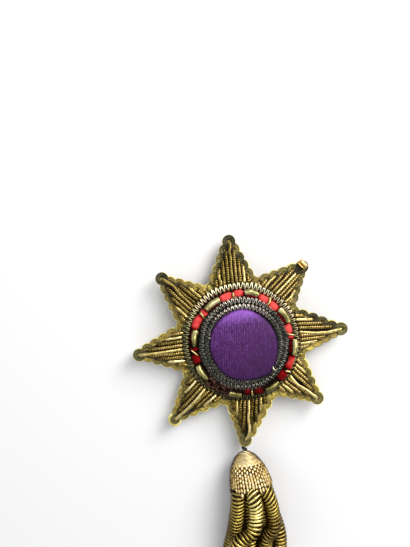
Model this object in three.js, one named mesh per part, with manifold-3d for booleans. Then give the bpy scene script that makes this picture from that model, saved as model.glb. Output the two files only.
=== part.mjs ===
// An eight-pointed star badge embroidered in gold bullion, lying on its back, with a bullion
// tassel hung from its lowest point. Millimetres. The origin is on the table under the middle of
// the star, +Z points out of the worked face and +Y up the badge, away from the tassel.

import * as THREE from 'three';
import { mergeVertices } from 'three/addons/utils/BufferGeometryUtils.js';
import Module from 'manifold-3d';

const wasm = await Module();
wasm.setup();

const GAP = 0.3;

// The star's points, counter-clockwise. tip and reach place the last spangle, root is where the
// middle ray leaves the ring, and notch is the direction of the hollow before the next point.
// All directions are in degrees from +X. The star is worked by hand, so none of them is regular.
// worn is how much of the middle ray's end is lost, which leaves room for the tip's bent plate.
const POINTS = [
  { name: 'east', tip: 7.0, reach: 37.9, root: 9.8, notch: 33.4, worn: 0 },
  { name: 'north_east', tip: 50.6, reach: 36.1, root: 54.1, notch: 77.0, worn: 3.4 },
  { name: 'north', tip: 96.9, reach: 37.7, root: 98.4, notch: 120.8, worn: 0 },
  { name: 'north_west', tip: 141.8, reach: 37.8, root: 144.2, notch: 166.6, worn: 0 },
  { name: 'west', tip: 187.8, reach: 38.5, root: 187.4, notch: 209.5, worn: 0 },
  { name: 'south_west', tip: 229.9, reach: 38.4, root: 232.8, notch: 258.7, worn: 0 },
  { name: 'south', tip: 272.6, reach: 37.0, root: 277.5, notch: 302.5, worn: 0 },
  { name: 'south_east', tip: 323.3, reach: 35.7, root: 325.7, notch: 349.0, worn: 0 },
];
const NOTCH_RADIUS = 21.7;
const ROOT_RADIUS = 21.5;

// Spangles: five down each side of a point, at even steps from the tip to the notch.
const SPANGLE_RADIUS = 2.4;
const SPANGLES_PER_SIDE = 5;
const SIDE_STEPS = 5.4;

// The star stands on a firm backing pad, cut smaller than the cloth. All other heights of the
// star are measured from the cloth's back.
const PAD = { thick: 4.5, inset: 1.2, sink: 0.3 };

const GROUND_TOP = 1.5;
const GROUND_MARGIN = 0.3;
const GROUND_SLIP = -0.25;
const EDGING = { bottom: GROUND_TOP + GAP, top: 2.3 };

const RAY = { pitch: 1.5, radius: 0.92, sides: 6, perSide: 4, inward: 3.2, rise: 0.9, shoulder: 0.7 };
const FOOT_TOP = 3.0;

// The rings round the middle: the radius of the coil's centre line, its own radius and height.
const OUTER_CENTRE = new THREE.Vector2(-0.1, 0);
const ROLL_CENTRE = new THREE.Vector2(0.6, -0.4);
const INNER_CENTRE = new THREE.Vector2(0.85, -0.65);
const OUTER_COIL = { radius: 20.6, thick: 0.95, height: 2.75 };
const RED_ROLL = { radius: 18.3, thick: 1.0, height: 4.43 };
const MIDDLE_COIL = { radius: 15.6, thick: 0.8, height: 4.6 };
const INNER_COIL = { radius: 13.7, thick: 0.75, height: 5.2 };
const RING_MESH = { sides: 8, segments: 28 };
const RING_CUT = { radius: OUTER_COIL.radius + OUTER_COIL.thick + GAP, bottom: -1, top: 9, segments: 64 };

const BOSS_PROFILE = [
  { radius: 19.0, height: 1.0 },
  { radius: 19.0, height: GROUND_TOP },
  { radius: 18.2, height: 2.7 },
  { radius: 12.2, height: 4.4 },
];

const BUTTON_CENTRE = new THREE.Vector2(0.85, -1.0);
const BUTTON_PROFILE = [
  { radius: 11.05, height: 4.75 },
  { radius: 12.05, height: 5.3 },
  { radius: 12.5, height: 6.1 },
  { radius: 11.85, height: 7.1 },
  { radius: 9.35, height: 8.0 },
  { radius: 5.1, height: 8.5, crown: 8.65 },
];

// The eight smooth bars that lie along the red ring, sewn down by hand at unequal distances from
// its middle, and the directions of its seven stitches.
const BARS = [
  { degrees: 128.3, radius: 18.4 },
  { degrees: 80.4, radius: 19.0 },
  { degrees: 34.5, radius: 18.5 },
  { degrees: -4.0, radius: 19.0 },
  { degrees: -54.8, radius: 19.2 },
  { degrees: -99.2, radius: 18.7 },
  { degrees: 215.8, radius: 18.7 },
  { degrees: 174.4, radius: 18.0 },
];
const BAR = { thick: 0.85, height: 6.6, halfArc: 9.6 };
const TIE_DEGREES = [101.8, 59.3, 146.7, 189.0, 11.6, -31.3, -79.6];
const TIE = { thick: 0.42, over: 1.75, from: 22, to: 118 };

const TIP_FOLD = { length: 3.6, width: 2.4, thick: 0.5, bend: 1.0, turn: 135, shift: 1.1 };

// The tassel's head. The axis runs from the apex, where the thread goes in, to the base inside
// the skirt; the profile gives the net's radius at a distance along it, as far as its lowest points.
const HEAD_APEX = new THREE.Vector3(2.0, -40.83, 6.9);
const HEAD_BASE = new THREE.Vector3(4.97, -60.12, 9.2);
const HEAD_LENGTH = HEAD_APEX.distanceTo(HEAD_BASE);
const HEAD_PROFILE = [
  { along: 0.0, radius: 0.8 },
  { along: 0.6, radius: 2.6 },
  { along: 1.8, radius: 4.35 },
  { along: 3.6, radius: 5.7 },
  { along: 6.5, radius: 6.85 },
  { along: 10.0, radius: 7.65 },
  { along: 15.2, radius: 8.4 },
];
const NET_LENGTH = HEAD_PROFILE[HEAD_PROFILE.length - 1].along;
const NET = { thick: 0.8, top: 1.1, shoulder: 2.2 };
const SCALLOPS = { count: 6, rise: 3.0, from: 8.0, perArch: 5 };

// The skirt: how far from the head's axis the strands leave the core, and how they flare.
const STRAND = { radius: 2.6, sides: 8, spans: 9 };
const ROOT_RING = { along: 11.0, radius: 3.7 };
const NECK_RING = { along: 15.0, radius: 5.5 };
const FLARE_RING = { along: 22.0, across: 7.2, up: 5.7, middle: 8.6 };
const CORE = { rings: [2.6, 4.5, 8.0, 11.0], slack: 0.05, segments: 18 };
const CORE_END = { along: 20.0, radius: 3.0 };
const SETTLE = { near: 31.0, far: 40.0 };

// Each strand leaves the head at an angle about its axis, 90 being the top, and lies at a
// distance across the skirt and a height above the table: near the head, further on, at its end.
const STRANDS = [
  { angle: 90, ring: 1.0, nearX: -4.1, nearZ: 14.8, farX: -8.8, farZ: 12.2, endX: -8.0, endZ: 7.4, length: 75.0 },
  { angle: 150, ring: 1.0, nearX: -7.6, nearZ: 9.6, farX: -6.4, farZ: 7.6, endX: -2.7, endZ: 7.4, length: 77.0 },
  { angle: 30, ring: 1.0, nearX: 8.9, nearZ: 8.8, farX: 9.4, farZ: 7.0, endX: 10.6, endZ: 2.8, length: 76.0 },
  { angle: 0, ring: 0.35, nearX: 4.2, nearZ: 10.4, farX: 3.9, farZ: 8.8, endX: 2.9, endZ: 7.4, length: 74.5 },
  { angle: 180, ring: 0.35, nearX: -1.8, nearZ: 8.4, farX: -1.4, farZ: 7.6, endX: -5.3, endZ: 2.8, length: 76.5 },
  { angle: -150, ring: 1.0, nearX: -7.4, nearZ: 4.2, farX: -9.2, farZ: 3.0, endX: -10.6, endZ: 2.8, length: 75.5 },
  { angle: -30, ring: 1.0, nearX: 6.8, nearZ: 3.6, farX: 6.4, farZ: 2.8, endX: 5.3, endZ: 2.8, length: 77.0 },
  { angle: -90, ring: 1.0, nearX: 0.0, nearZ: 2.8, farX: 0.0, farZ: 2.8, endX: 0.0, endZ: 2.8, length: 76.0 },
];

const THREAD = {
  radius: 0.4,
  sides: 6,
  route: [
    new THREE.Vector3(0.7, -40.6, 4.9),
    new THREE.Vector3(0.75, -40.52, 6.0),
    new THREE.Vector3(1.2, -39.8, 7.4),
    new THREE.Vector3(1.7, -39.5, 8.3),
  ],
};

const FINISH = {
  cloth: new THREE.MeshStandardMaterial({ color: 0xc9b04a, roughness: 0.9, metalness: 0.0 }),
  spangle: new THREE.MeshStandardMaterial({ color: 0x6d6533, roughness: 0.4, metalness: 0.8 }),
  purl: new THREE.MeshStandardMaterial({ color: 0xb09a55, roughness: 0.35, metalness: 0.9 }),
  paleWire: new THREE.MeshStandardMaterial({ color: 0xc8bd98, roughness: 0.3, metalness: 0.9 }),
  darkWire: new THREE.MeshStandardMaterial({ color: 0x6f7268, roughness: 0.3, metalness: 0.9 }),
  redSilk: new THREE.MeshStandardMaterial({ color: 0xc22a38, roughness: 0.5, metalness: 0.0 }),
  purpleSilk: new THREE.MeshStandardMaterial({ color: 0x5f3288, roughness: 0.6, metalness: 0.0 }),
  bar: new THREE.MeshStandardMaterial({ color: 0xb9b684, roughness: 0.3, metalness: 0.9 }),
  gilt: new THREE.MeshStandardMaterial({ color: 0xe0bf66, roughness: 0.25, metalness: 1.0 }),
  thread: new THREE.MeshStandardMaterial({ color: 0x2b2418, roughness: 0.8, metalness: 0.0 }),
  tassel: new THREE.MeshStandardMaterial({ color: 0xb7993f, roughness: 0.35, metalness: 0.85 }),
};

const badge = new THREE.Group();

function addPiece(name, geometry, finish) {
  const mesh = new THREE.Mesh(geometry, finish);
  mesh.name = name;
  badge.add(mesh);
}

function addToStar(name, geometry, finish) {
  addPiece(name, geometry.translate(0, 0, PAD.thick), finish);
}

const radians = THREE.MathUtils.degToRad;

function polar(radius, degrees) {
  return new THREE.Vector2(radius * Math.cos(radians(degrees)), radius * Math.sin(radians(degrees)));
}

// A closed geometry as a solid, without the triangles that shrink to nothing at a pole.
function toSolid(geometry) {
  const bare = geometry.clone();
  bare.deleteAttribute('normal');
  bare.deleteAttribute('uv');
  const merged = mergeVertices(bare, 1e-4);
  const corners = merged.index.array;
  const kept = [];
  for (let i = 0; i < corners.length; i += 3) {
    const [a, b, c] = corners.slice(i, i + 3);
    if (a !== b && b !== c && c !== a) kept.push(a, b, c);
  }
  const vertProperties = new Float32Array(merged.attributes.position.array);
  return new wasm.Manifold(new wasm.Mesh({ numProp: 3, vertProperties, triVerts: new Uint32Array(kept) }));
}

function toGeometry(solid) {
  const mesh = solid.getMesh();
  const geometry = new THREE.BufferGeometry();
  geometry.setAttribute('position', new THREE.BufferAttribute(new Float32Array(mesh.vertProperties), 3));
  geometry.setIndex(new THREE.BufferAttribute(new Uint32Array(mesh.triVerts), 1));
  geometry.computeVertexNormals();
  return geometry;
}

function fuse(geometries) {
  return geometries.map(toSolid).reduce((sum, solid) => sum.add(solid));
}

function roundShape(radius, sides) {
  const corners = [];
  for (let i = 0; i < sides; i += 1) {
    corners.push(polar(radius, (360 * i) / sides));
  }
  return new THREE.Shape(corners);
}

function tube(points, radius, sides, spans) {
  const path = new THREE.CatmullRomCurve3(points, false, 'centripetal');
  return new THREE.ExtrudeGeometry(roundShape(radius, sides), {
    extrudePath: path,
    steps: spans,
    bevelEnabled: false,
  });
}

// A plate with the given outline, holes and heights.
function plate(outline, bottom, top, holes = []) {
  const shape = new THREE.Shape(outline);
  shape.holes = holes.map((hole) => new THREE.Path(hole));
  const geometry = new THREE.ExtrudeGeometry(shape, { depth: top - bottom, bevelEnabled: false });
  return geometry.translate(0, 0, bottom);
}

// A shape turned about the vertical line through a centre; the profile runs from the bottom up.
function turned(profile, centre, segments) {
  const points = [
    new THREE.Vector2(0, profile[0].height),
    ...profile.map(({ radius, height }) => new THREE.Vector2(radius, height)),
  ];
  const last = profile[profile.length - 1];
  points.push(new THREE.Vector2(0, last.crown ?? last.height));
  return new THREE.LatheGeometry(points, segments).rotateX(Math.PI / 2).translate(centre.x, centre.y, 0);
}

function cylinderRound(centre, { radius, bottom, top, segments }) {
  const profile = [{ radius, height: bottom }, { radius, height: top }];
  return turned(profile, centre, segments);
}

// Where each point of the star lies: its tip, the notches on both sides, its root and its axis.
const layout = POINTS.map((point, i) => {
  const before = POINTS[(i + POINTS.length - 1) % POINTS.length];
  const tip = polar(point.reach, point.tip);
  const root = polar(ROOT_RADIUS, point.root);
  const axis = tip.clone().sub(root).normalize();
  return {
    name: point.name,
    tip,
    root,
    axis,
    leftward: new THREE.Vector2(-axis.y, axis.x),
    worn: point.worn,
    left: polar(NOTCH_RADIUS, point.notch),
    right: polar(NOTCH_RADIUS, before.notch),
  };
});

// The middle of spangle number k of a point: 0 is the tip, positive is the counter-clockwise side.
function spangleMiddle(point, k) {
  const notch = k > 0 ? point.left : point.right;
  return point.tip.clone().lerp(notch, Math.abs(k) / SIDE_STEPS);
}

function spangleString() {
  const middles = [];
  for (const point of layout) {
    for (let k = -SPANGLES_PER_SIDE; k <= SPANGLES_PER_SIDE; k += 1) {
      middles.push(spangleMiddle(point, k));
    }
  }
  return middles;
}

// The outer outline of a closed string of overlapping rounds: arcs between the crossings of
// neighbours, each arc with one or more corners on it.
function scallops(middles, radius, slip = 0) {
  const crossings = middles.map((middle, i) => {
    const next = middles[(i + 1) % middles.length];
    const step = next.clone().sub(middle);
    const away = new THREE.Vector2(step.y, -step.x).normalize();
    const reach = Math.sqrt(radius * radius - step.lengthSq() / 4);
    return middle.clone().add(next).multiplyScalar(0.5).addScaledVector(away, reach);
  });
  const outline = [];
  middles.forEach((middle, i) => {
    const start = crossings[(i + middles.length - 1) % middles.length].clone().sub(middle);
    const end = crossings[i].clone().sub(middle);
    const first = start.angle();
    const turn = (end.angle() - first + 2 * Math.PI) % (2 * Math.PI);
    const spans = Math.max(2, Math.round(turn / radians(45)));
    for (let j = 0; j < spans; j += 1) {
      const angle = first + (turn * j) / spans;
      const corner = new THREE.Vector2(Math.cos(angle), Math.sin(angle)).multiplyScalar(radius);
      outline.push(corner.add(middle).add(new THREE.Vector2(0, slip)));
    }
  });
  return outline;
}

// The star through the tips and notches, with its sides moved inward by the same distance.
function insetStar(distance) {
  const corners = layout.flatMap((point) => [point.tip, point.left]);
  const count = corners.length;
  const sides = corners.map((corner, i) => {
    const along = corners[(i + 1) % count].clone().sub(corner).normalize();
    const inward = new THREE.Vector2(-along.y, along.x);
    return { from: corner.clone().addScaledVector(inward, distance), along };
  });
  return sides.map((side, i) => {
    const before = sides[(i + count - 1) % count];
    const between = side.from.clone().sub(before.from);
    const travel = between.cross(side.along) / before.along.cross(side.along);
    return before.from.clone().addScaledVector(before.along, travel);
  });
}

function makeGround() {
  const cloth = plate(scallops(spangleString(), SPANGLE_RADIUS + GROUND_MARGIN, GROUND_SLIP), 0, GROUND_TOP);
  const pad = plate(insetStar(PAD.inset), -PAD.thick, PAD.sink);
  const boss = turned(BOSS_PROFILE, INNER_CENTRE, 40);
  addToStar('star_ground', toGeometry(fuse([cloth, pad, boss])), FINISH.cloth);
}

const clearOfRing = toSolid(cylinderRound(OUTER_CENTRE, RING_CUT));

function makeEdging() {
  const outline = scallops(spangleString(), SPANGLE_RADIUS);
  const band = plate(outline, EDGING.bottom, EDGING.top, [insetStar(SPANGLE_RADIUS).reverse()]);
  addToStar('spangle_edging', toGeometry(toSolid(band).subtract(clearOfRing)), FINISH.spangle);
}

// One couched line of purl: it rises over the padding and ends in the hole of its spangle.
function rayLine(point, k) {
  const end = spangleMiddle(point, k);
  if (k === 0) end.addScaledVector(point.axis, -point.worn);
  const base = point.root.clone().addScaledVector(point.leftward, k * RAY.pitch);
  const outward = end.clone().sub(base).normalize();
  const start = base.addScaledVector(outward, -RAY.inward);
  const low = EDGING.top + GAP + RAY.radius;
  const rise = RAY.rise * (1 - (Math.abs(k) / (RAY.perSide + 1)) ** 2);
  const middle = start.clone().lerp(end, 0.5);
  const points = [
    new THREE.Vector3(start.x, start.y, low + rise * RAY.shoulder),
    new THREE.Vector3(middle.x, middle.y, low + rise),
    new THREE.Vector3(end.x, end.y, low),
  ];
  const spans = Math.abs(k) < 3 ? 2 : 1;
  return tube(points, RAY.radius, RAY.sides, spans);
}

function makeRays() {
  const inner = insetStar(SPANGLE_RADIUS + GAP);
  layout.forEach((point, i) => {
    const before = inner[(2 * i + inner.length - 1) % inner.length];
    const corners = [inner[2 * i], inner[2 * i + 1], new THREE.Vector2(0, 0), before];
    const pieces = [plate(corners, EDGING.bottom, FOOT_TOP)];
    for (let k = -RAY.perSide; k <= RAY.perSide; k += 1) {
      pieces.push(rayLine(point, k));
    }
    addToStar(`rays_${point.name}`, toGeometry(fuse(pieces).subtract(clearOfRing)), FINISH.purl);
  });
}

function makeCoil(name, coil, centre, finish) {
  const geometry = new THREE.TorusGeometry(coil.radius, coil.thick, RING_MESH.sides, RING_MESH.segments);
  addToStar(name, geometry.translate(centre.x, centre.y, coil.height), finish);
}

function makeButton() {
  addToStar('button', turned(BUTTON_PROFILE, BUTTON_CENTRE, 32), FINISH.purpleSilk);
}

function onRing(radius, degrees, height) {
  const place = polar(radius, degrees).add(ROLL_CENTRE);
  return new THREE.Vector3(place.x, place.y, height);
}

function makeBars() {
  BARS.forEach(({ degrees, radius }, i) => {
    const points = [-1, -0.33, 0.33, 1].map((side) => onRing(radius, degrees + side * BAR.halfArc, BAR.height));
    addToStar(`bar_${i + 1}`, tube(points, BAR.thick, 8, 3), FINISH.bar);
  });
}

function makeTies() {
  TIE_DEGREES.forEach((degrees, i) => {
    const points = [0, 1 / 3, 2 / 3, 1].map((share) => {
      const lean = radians(THREE.MathUtils.lerp(TIE.from, TIE.to, share));
      const radius = RED_ROLL.radius + TIE.over * Math.cos(lean);
      return onRing(radius, degrees, RED_ROLL.height + TIE.over * Math.sin(lean));
    });
    addToStar(`tie_${i + 1}`, tube(points, TIE.thick, 6, 4), FINISH.bar);
  });
}

// The small bent plate at the north-east tip, lying on the last spangle.
function makeTipFold() {
  const { length, width, thick, bend } = TIP_FOLD;
  const profile = [
    new THREE.Vector2(-length / 2, 0),
    new THREE.Vector2(0, bend),
    new THREE.Vector2(length / 2, 0),
    new THREE.Vector2(length / 2, thick),
    new THREE.Vector2(0, bend + thick),
    new THREE.Vector2(-length / 2, thick),
  ];
  const tip = layout[1].tip.clone().addScaledVector(layout[1].axis, TIP_FOLD.shift);
  const geometry = new THREE.ExtrudeGeometry(new THREE.Shape(profile), { depth: width, bevelEnabled: false });
  geometry.translate(0, 0, -width / 2).rotateX(Math.PI / 2);
  geometry.rotateZ(radians(TIP_FOLD.turn)).translate(tip.x, tip.y, EDGING.top + GAP);
  addToStar('tip_fold', geometry, FINISH.gilt);
}

function headRadius(along) {
  const i = Math.max(1, HEAD_PROFILE.findIndex((ring) => ring.along >= along));
  const a = HEAD_PROFILE[i - 1];
  const b = HEAD_PROFILE[i];
  return THREE.MathUtils.mapLinear(along, a.along, b.along, a.radius, b.radius);
}

// Puts a shape made along +Y from the origin onto the head's axis, with its own +Z up.
function alongHead(geometry) {
  const down = HEAD_BASE.clone().sub(HEAD_APEX).normalize();
  const across = new THREE.Vector3(0, 0, 1).cross(down).normalize();
  const up = down.clone().cross(across).multiplyScalar(-1);
  const turn = new THREE.Matrix4().makeBasis(across.clone().multiplyScalar(-1), down, up.multiplyScalar(-1));
  turn.setPosition(HEAD_APEX);
  return geometry.applyMatrix4(turn);
}

// The net over the head: a hollow bell whose lower edge is cut in scallops, one over each strand.
function makeCap() {
  const inner = [...HEAD_PROFILE].reverse().filter((ring) => ring.along > 1);
  const profile = [
    new THREE.Vector2(0, 0),
    ...HEAD_PROFILE.map((ring) => new THREE.Vector2(ring.radius, ring.along)),
    ...inner.map((ring) => new THREE.Vector2(ring.radius - NET.thick, Math.max(ring.along, NET.shoulder))),
    new THREE.Vector2(0, NET.top),
  ];
  const geometry = new THREE.LatheGeometry(profile, SCALLOPS.perArch * SCALLOPS.count);
  const position = geometry.attributes.position;
  for (let i = 0; i < position.count; i += 1) {
    const along = position.getY(i);
    const angle = Math.atan2(position.getZ(i), position.getX(i));
    const lift = SCALLOPS.rise * Math.abs(Math.sin((SCALLOPS.count / 2) * angle));
    const share = Math.max(0, (along - SCALLOPS.from) / (NET_LENGTH - SCALLOPS.from));
    position.setY(i, along - lift * share);
  }
  geometry.computeVertexNormals();
  addPiece('tassel_cap', alongHead(geometry), FINISH.tassel);
}

// A place in the skirt: a distance along the tassel, across it, and a height.
function skirtPlace(along, across, height) {
  const share = Math.min(1, along / HEAD_LENGTH);
  const beyond = Math.max(0, along - HEAD_LENGTH);
  const axis = HEAD_APEX.clone().lerp(HEAD_BASE, share);
  return new THREE.Vector3(axis.x + across, axis.y - beyond, height);
}

function headHeight(along) {
  return THREE.MathUtils.lerp(HEAD_APEX.z, HEAD_BASE.z, Math.min(1, along / HEAD_LENGTH));
}

function strandLine(strand) {
  const c = Math.cos(radians(strand.angle)) * strand.ring;
  const s = Math.sin(radians(strand.angle)) * strand.ring;
  const inHead = (ring) => skirtPlace(ring.along, ring.radius * c, headHeight(ring.along) + ring.radius * s);
  const halfway = (SETTLE.far + strand.length) / 2;
  return [
    inHead(ROOT_RING),
    inHead(NECK_RING),
    skirtPlace(FLARE_RING.along, FLARE_RING.across * c, FLARE_RING.middle + FLARE_RING.up * s),
    skirtPlace(SETTLE.near, strand.nearX, strand.nearZ),
    skirtPlace(SETTLE.far, strand.farX, strand.farZ),
    skirtPlace(halfway, (strand.farX + strand.endX) / 2, (strand.farZ + strand.endZ) / 2),
    skirtPlace(strand.length, strand.endX, strand.endZ),
  ];
}

function makeSkirt() {
  const clearance = NET.thick + GAP + CORE.slack;
  const core = CORE.rings.map((along) => new THREE.Vector2(headRadius(along) - clearance, along));
  const profile = [
    new THREE.Vector2(0, CORE.rings[0]),
    ...core,
    new THREE.Vector2(CORE_END.radius, CORE_END.along),
    new THREE.Vector2(0, CORE_END.along),
  ];
  const pieces = [alongHead(new THREE.LatheGeometry(profile, CORE.segments))];
  for (const strand of STRANDS) {
    pieces.push(tube(strandLine(strand), STRAND.radius, STRAND.sides, STRAND.spans));
  }
  addPiece('tassel_skirt', toGeometry(fuse(pieces)), FINISH.tassel);
}

makeGround();
makeEdging();
makeRays();
makeCoil('outer_coil', OUTER_COIL, OUTER_CENTRE, FINISH.paleWire);
makeCoil('red_roll', RED_ROLL, ROLL_CENTRE, FINISH.redSilk);
makeCoil('middle_coil', MIDDLE_COIL, INNER_CENTRE, FINISH.darkWire);
makeCoil('inner_coil', INNER_COIL, INNER_CENTRE, FINISH.darkWire);
makeButton();
makeBars();
makeTies();
makeTipFold();
addPiece('hanger_thread', tube(THREAD.route, THREAD.radius, THREAD.sides, 4), FINISH.thread);
makeCap();
makeSkirt();

export default badge;
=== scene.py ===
# %% [markdown]
# A star badge worked in gold bullion, with a purple silk button in the middle and a bullion
# tassel hung from its lowest point. It lies on its back on a white table. The solids of the
# packed model give every size; this script dresses them in thread, wire, spangles and silk.

# %% Load the frame
import bpy
import numpy as np
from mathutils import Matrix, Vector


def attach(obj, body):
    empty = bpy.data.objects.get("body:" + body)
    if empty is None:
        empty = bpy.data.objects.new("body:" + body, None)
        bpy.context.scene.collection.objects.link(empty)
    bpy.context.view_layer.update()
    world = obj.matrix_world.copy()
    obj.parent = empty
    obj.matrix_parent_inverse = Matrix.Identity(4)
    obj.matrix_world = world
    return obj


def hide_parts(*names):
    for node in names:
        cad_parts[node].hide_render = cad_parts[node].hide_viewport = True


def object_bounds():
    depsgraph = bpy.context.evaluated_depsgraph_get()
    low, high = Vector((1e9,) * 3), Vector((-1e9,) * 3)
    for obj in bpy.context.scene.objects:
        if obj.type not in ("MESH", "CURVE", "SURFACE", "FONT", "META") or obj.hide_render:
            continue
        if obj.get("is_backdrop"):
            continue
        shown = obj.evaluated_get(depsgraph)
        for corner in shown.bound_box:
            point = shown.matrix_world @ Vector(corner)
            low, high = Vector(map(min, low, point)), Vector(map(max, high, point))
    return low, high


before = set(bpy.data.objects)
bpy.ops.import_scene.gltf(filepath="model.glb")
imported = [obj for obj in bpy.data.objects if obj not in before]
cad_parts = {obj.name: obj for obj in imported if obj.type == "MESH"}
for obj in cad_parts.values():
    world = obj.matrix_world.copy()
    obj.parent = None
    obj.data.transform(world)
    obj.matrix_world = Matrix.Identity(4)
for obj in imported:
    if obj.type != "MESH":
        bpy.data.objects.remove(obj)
cad_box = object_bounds()
print("solids to dress:", len(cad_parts))

# %% [markdown]
# The badge is looked at from straight above. Such a view keeps the star's outline true, and only
# the tassel, which lies off to one side, shows a little of its flank. A camera with a plain 40 mm
# lens, 234.5 mm up and pointing straight down, gives it. A long lens from further off would
# flatten the tassel, so the height matters.

# %% Camera
MM = 0.001
EYE = np.array([-13.5, 25.3, 234.5])
camera_data = bpy.data.cameras.new("table_camera")
camera_data.lens = 40.0
camera_data.sensor_width = 36.0
camera_data.clip_start = 0.01
camera = bpy.data.objects.new("table_camera", camera_data)
camera.location = EYE * MM
bpy.context.scene.collection.objects.link(camera)
bpy.context.scene.camera = camera
bpy.context.scene.view_settings.view_transform = "Standard"
print("camera height in mm:", EYE[2])

# %% [markdown]
# Metal thread looks like metal only when it has something bright and something dark to mirror.
# One big soft lamp stands to the upper right and throws the soft shadows that fall to the lower
# left; a weaker one fills in from the left, and the sky over the table stays dim. A white sky
# alone would be simpler, but every wire would then turn to flat grey.

# %% Lamps and sky
LAMPS = [
    {"name": "window", "at": (300, 330, 330), "size": 280, "watts": 3.6, "colour": (1.0, 0.98, 0.95)},
    {"name": "panel", "at": (190, 210, 560), "size": 260, "watts": 1.6, "colour": (1.0, 1.0, 0.98)},
    {"name": "bounce", "at": (-420, 60, 300), "size": 340, "watts": 0.7, "colour": (0.97, 0.98, 1.0)},
    {"name": "front", "at": (60, -420, 330), "size": 300, "watts": 0.6, "colour": (1.0, 1.0, 1.0)},
]


def add_lamp(name, at, size, watts, colour):
    """A square lamp whose face looks at the middle of the badge."""
    data = bpy.data.lights.new(name, "AREA")
    data.size = size * MM
    data.energy = watts
    data.color = colour
    lamp = bpy.data.objects.new(name, data)
    lamp.location = np.array(at) * MM
    lamp.rotation_euler = (-lamp.location).to_track_quat("-Z", "Y").to_euler()
    bpy.context.scene.collection.objects.link(lamp)


for row in LAMPS:
    add_lamp(**row)
world = bpy.data.worlds.new("sky")
world.use_nodes = True
world.node_tree.nodes["Background"].inputs["Color"].default_value = (0.97, 0.98, 1.0, 1.0)
world.node_tree.nodes["Background"].inputs["Strength"].default_value = 0.4
bpy.context.scene.world = world
print("lamps:", len(LAMPS))

# %% [markdown]
# Every new piece is a grid of points. Its rows run along the piece and its columns run across
# it or round it, so a tube, a plate, a dome and a ring are all the same thing with different
# formulas. Numpy works out all the points of a piece in one go, and the mesh takes them as one
# array. Sculpting or stacking modifiers would also work, but a formula can be read and changed.

# %% Grids of points
class Shape:
    """Points in millimetres and the faces between them. A face with three corners has -1 as its
    fourth. Each corner carries a place (u, v) on the surface, and each point a tone from 0 to 1."""

    def __init__(self, points, faces, uv, tone, look):
        self.points = points
        self.faces = faces
        self.uv = uv
        self.tone = tone
        self.look = np.full(len(faces), look)


def unit(vectors):
    """Each vector divided by its own length."""
    return vectors / np.maximum(np.linalg.norm(vectors, axis=-1, keepdims=True), 1e-12)


def grid(points, u=None, wrap=False, ring=False, poles=False, tone=0.5, look=0):
    """The faces of a grid of points. wrap joins the last column to the first, ring joins the last
    row to the first, and poles closes both ends with a fan about their middle points."""
    rows, cols = points.shape[:2]
    u = np.arange(rows + 1.0) if u is None else np.append(u, 2 * u[-1] - u[-2])
    down = rows if ring else rows - 1
    over = cols if wrap else cols - 1
    v = np.arange(over + 1) / over
    i, j = (index.ravel() for index in np.mgrid[0:down, 0:over])
    here, there = i * cols, (i + 1) % rows * cols
    turn = (j + 1) % cols
    faces = np.stack([here + j, here + turn, there + turn, there + j], 1)
    uv = np.stack([u[[i, i, i + 1, i + 1]].T, v[[j, j + 1, j + 1, j]].T], -1)
    flat = points.reshape(-1, 3)
    tone = np.broadcast_to(np.asarray(tone, float), (rows, cols)).ravel()
    if poles:
        j = np.arange(over)
        turn = (j + 1) % cols
        none = np.full(over, -1)
        first, last = rows * cols, rows * cols + 1
        base = (rows - 1) * cols
        fans = [np.stack([turn, j, none + first + 1, none], 1),
                np.stack([base + j, base + turn, none + last + 1, none], 1)]
        faces = np.concatenate([faces] + fans)
        fan_v = v[[j, j + 1, j, j]].T
        fan_uv = [np.stack([np.full((over, 4), u[end]), fan_v], -1) for end in (0, rows - 1)]
        uv = np.concatenate([uv] + fan_uv)
        flat = np.concatenate([flat, [points[0].mean(0), points[-1].mean(0)]])
        tone = np.concatenate([tone, [tone[0], tone[-1]]])
    return Shape(flat, faces, uv, tone, look)


print("faces of a closed tube of 4 rings of 6:", len(grid(np.zeros((4, 6, 3)), wrap=True, poles=True).faces))

# %% [markdown]
# A piece is one mesh made of many such grids, as one spangle edging is sewn from many spangles.
# Its points, corners and faces go in as whole arrays, which is quick even for thousands of turns of wire. It
# rides on the badge and stands for the solids of the packed model that it dresses. Every face is shaded
# smooth, because nothing on a badge of thread has a sharp edge.

# %% Pieces from grids
def make_piece(name, shapes, finishes, slot, nodes=(), lift_by=0.0):
    """One mesh object from a list of shapes, riding on the badge and standing for the solids named.
    lift_by raises all of it by so many millimetres."""
    points = np.concatenate([s.points for s in shapes]) + [0, 0, lift_by]
    counts = np.cumsum([0] + [len(s.points) for s in shapes])
    faces = np.concatenate([np.where(s.faces < 0, -1, s.faces + n) for s, n in zip(shapes, counts)])
    used = faces >= 0
    mesh = bpy.data.meshes.new(name)
    mesh.vertices.add(counts[-1])
    mesh.vertices.foreach_set("co", (points * MM).ravel())
    mesh.loops.add(int(used.sum()))
    mesh.loops.foreach_set("vertex_index", faces[used])
    mesh.polygons.add(len(faces))
    mesh.polygons.foreach_set("loop_start", np.append(0, np.cumsum(used.sum(1))[:-1]))
    mesh.polygons.foreach_set("material_index", np.concatenate([s.look for s in shapes]))
    mesh.polygons.foreach_set("use_smooth", np.ones(len(faces), bool))
    mesh.update(calc_edges=True)
    laid = mesh.uv_layers.new(name="laid")
    laid.data.foreach_set("uv", np.concatenate([s.uv for s in shapes])[used].ravel())
    tone = mesh.attributes.new("tone", "FLOAT", "POINT")
    tone.data.foreach_set("value", np.concatenate([s.tone for s in shapes]))
    for finish in finishes:
        mesh.materials.append(finish)
    piece = bpy.data.objects.new(name, mesh)
    bpy.context.scene.collection.objects.link(piece)
    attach(piece, "root")
    if nodes:
        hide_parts(*nodes)
    print(f"{name}: {int((used.sum(1) - 2).sum())} triangles")
    return piece


print("scale that turns millimetres into Blender's metres:", MM)

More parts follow.
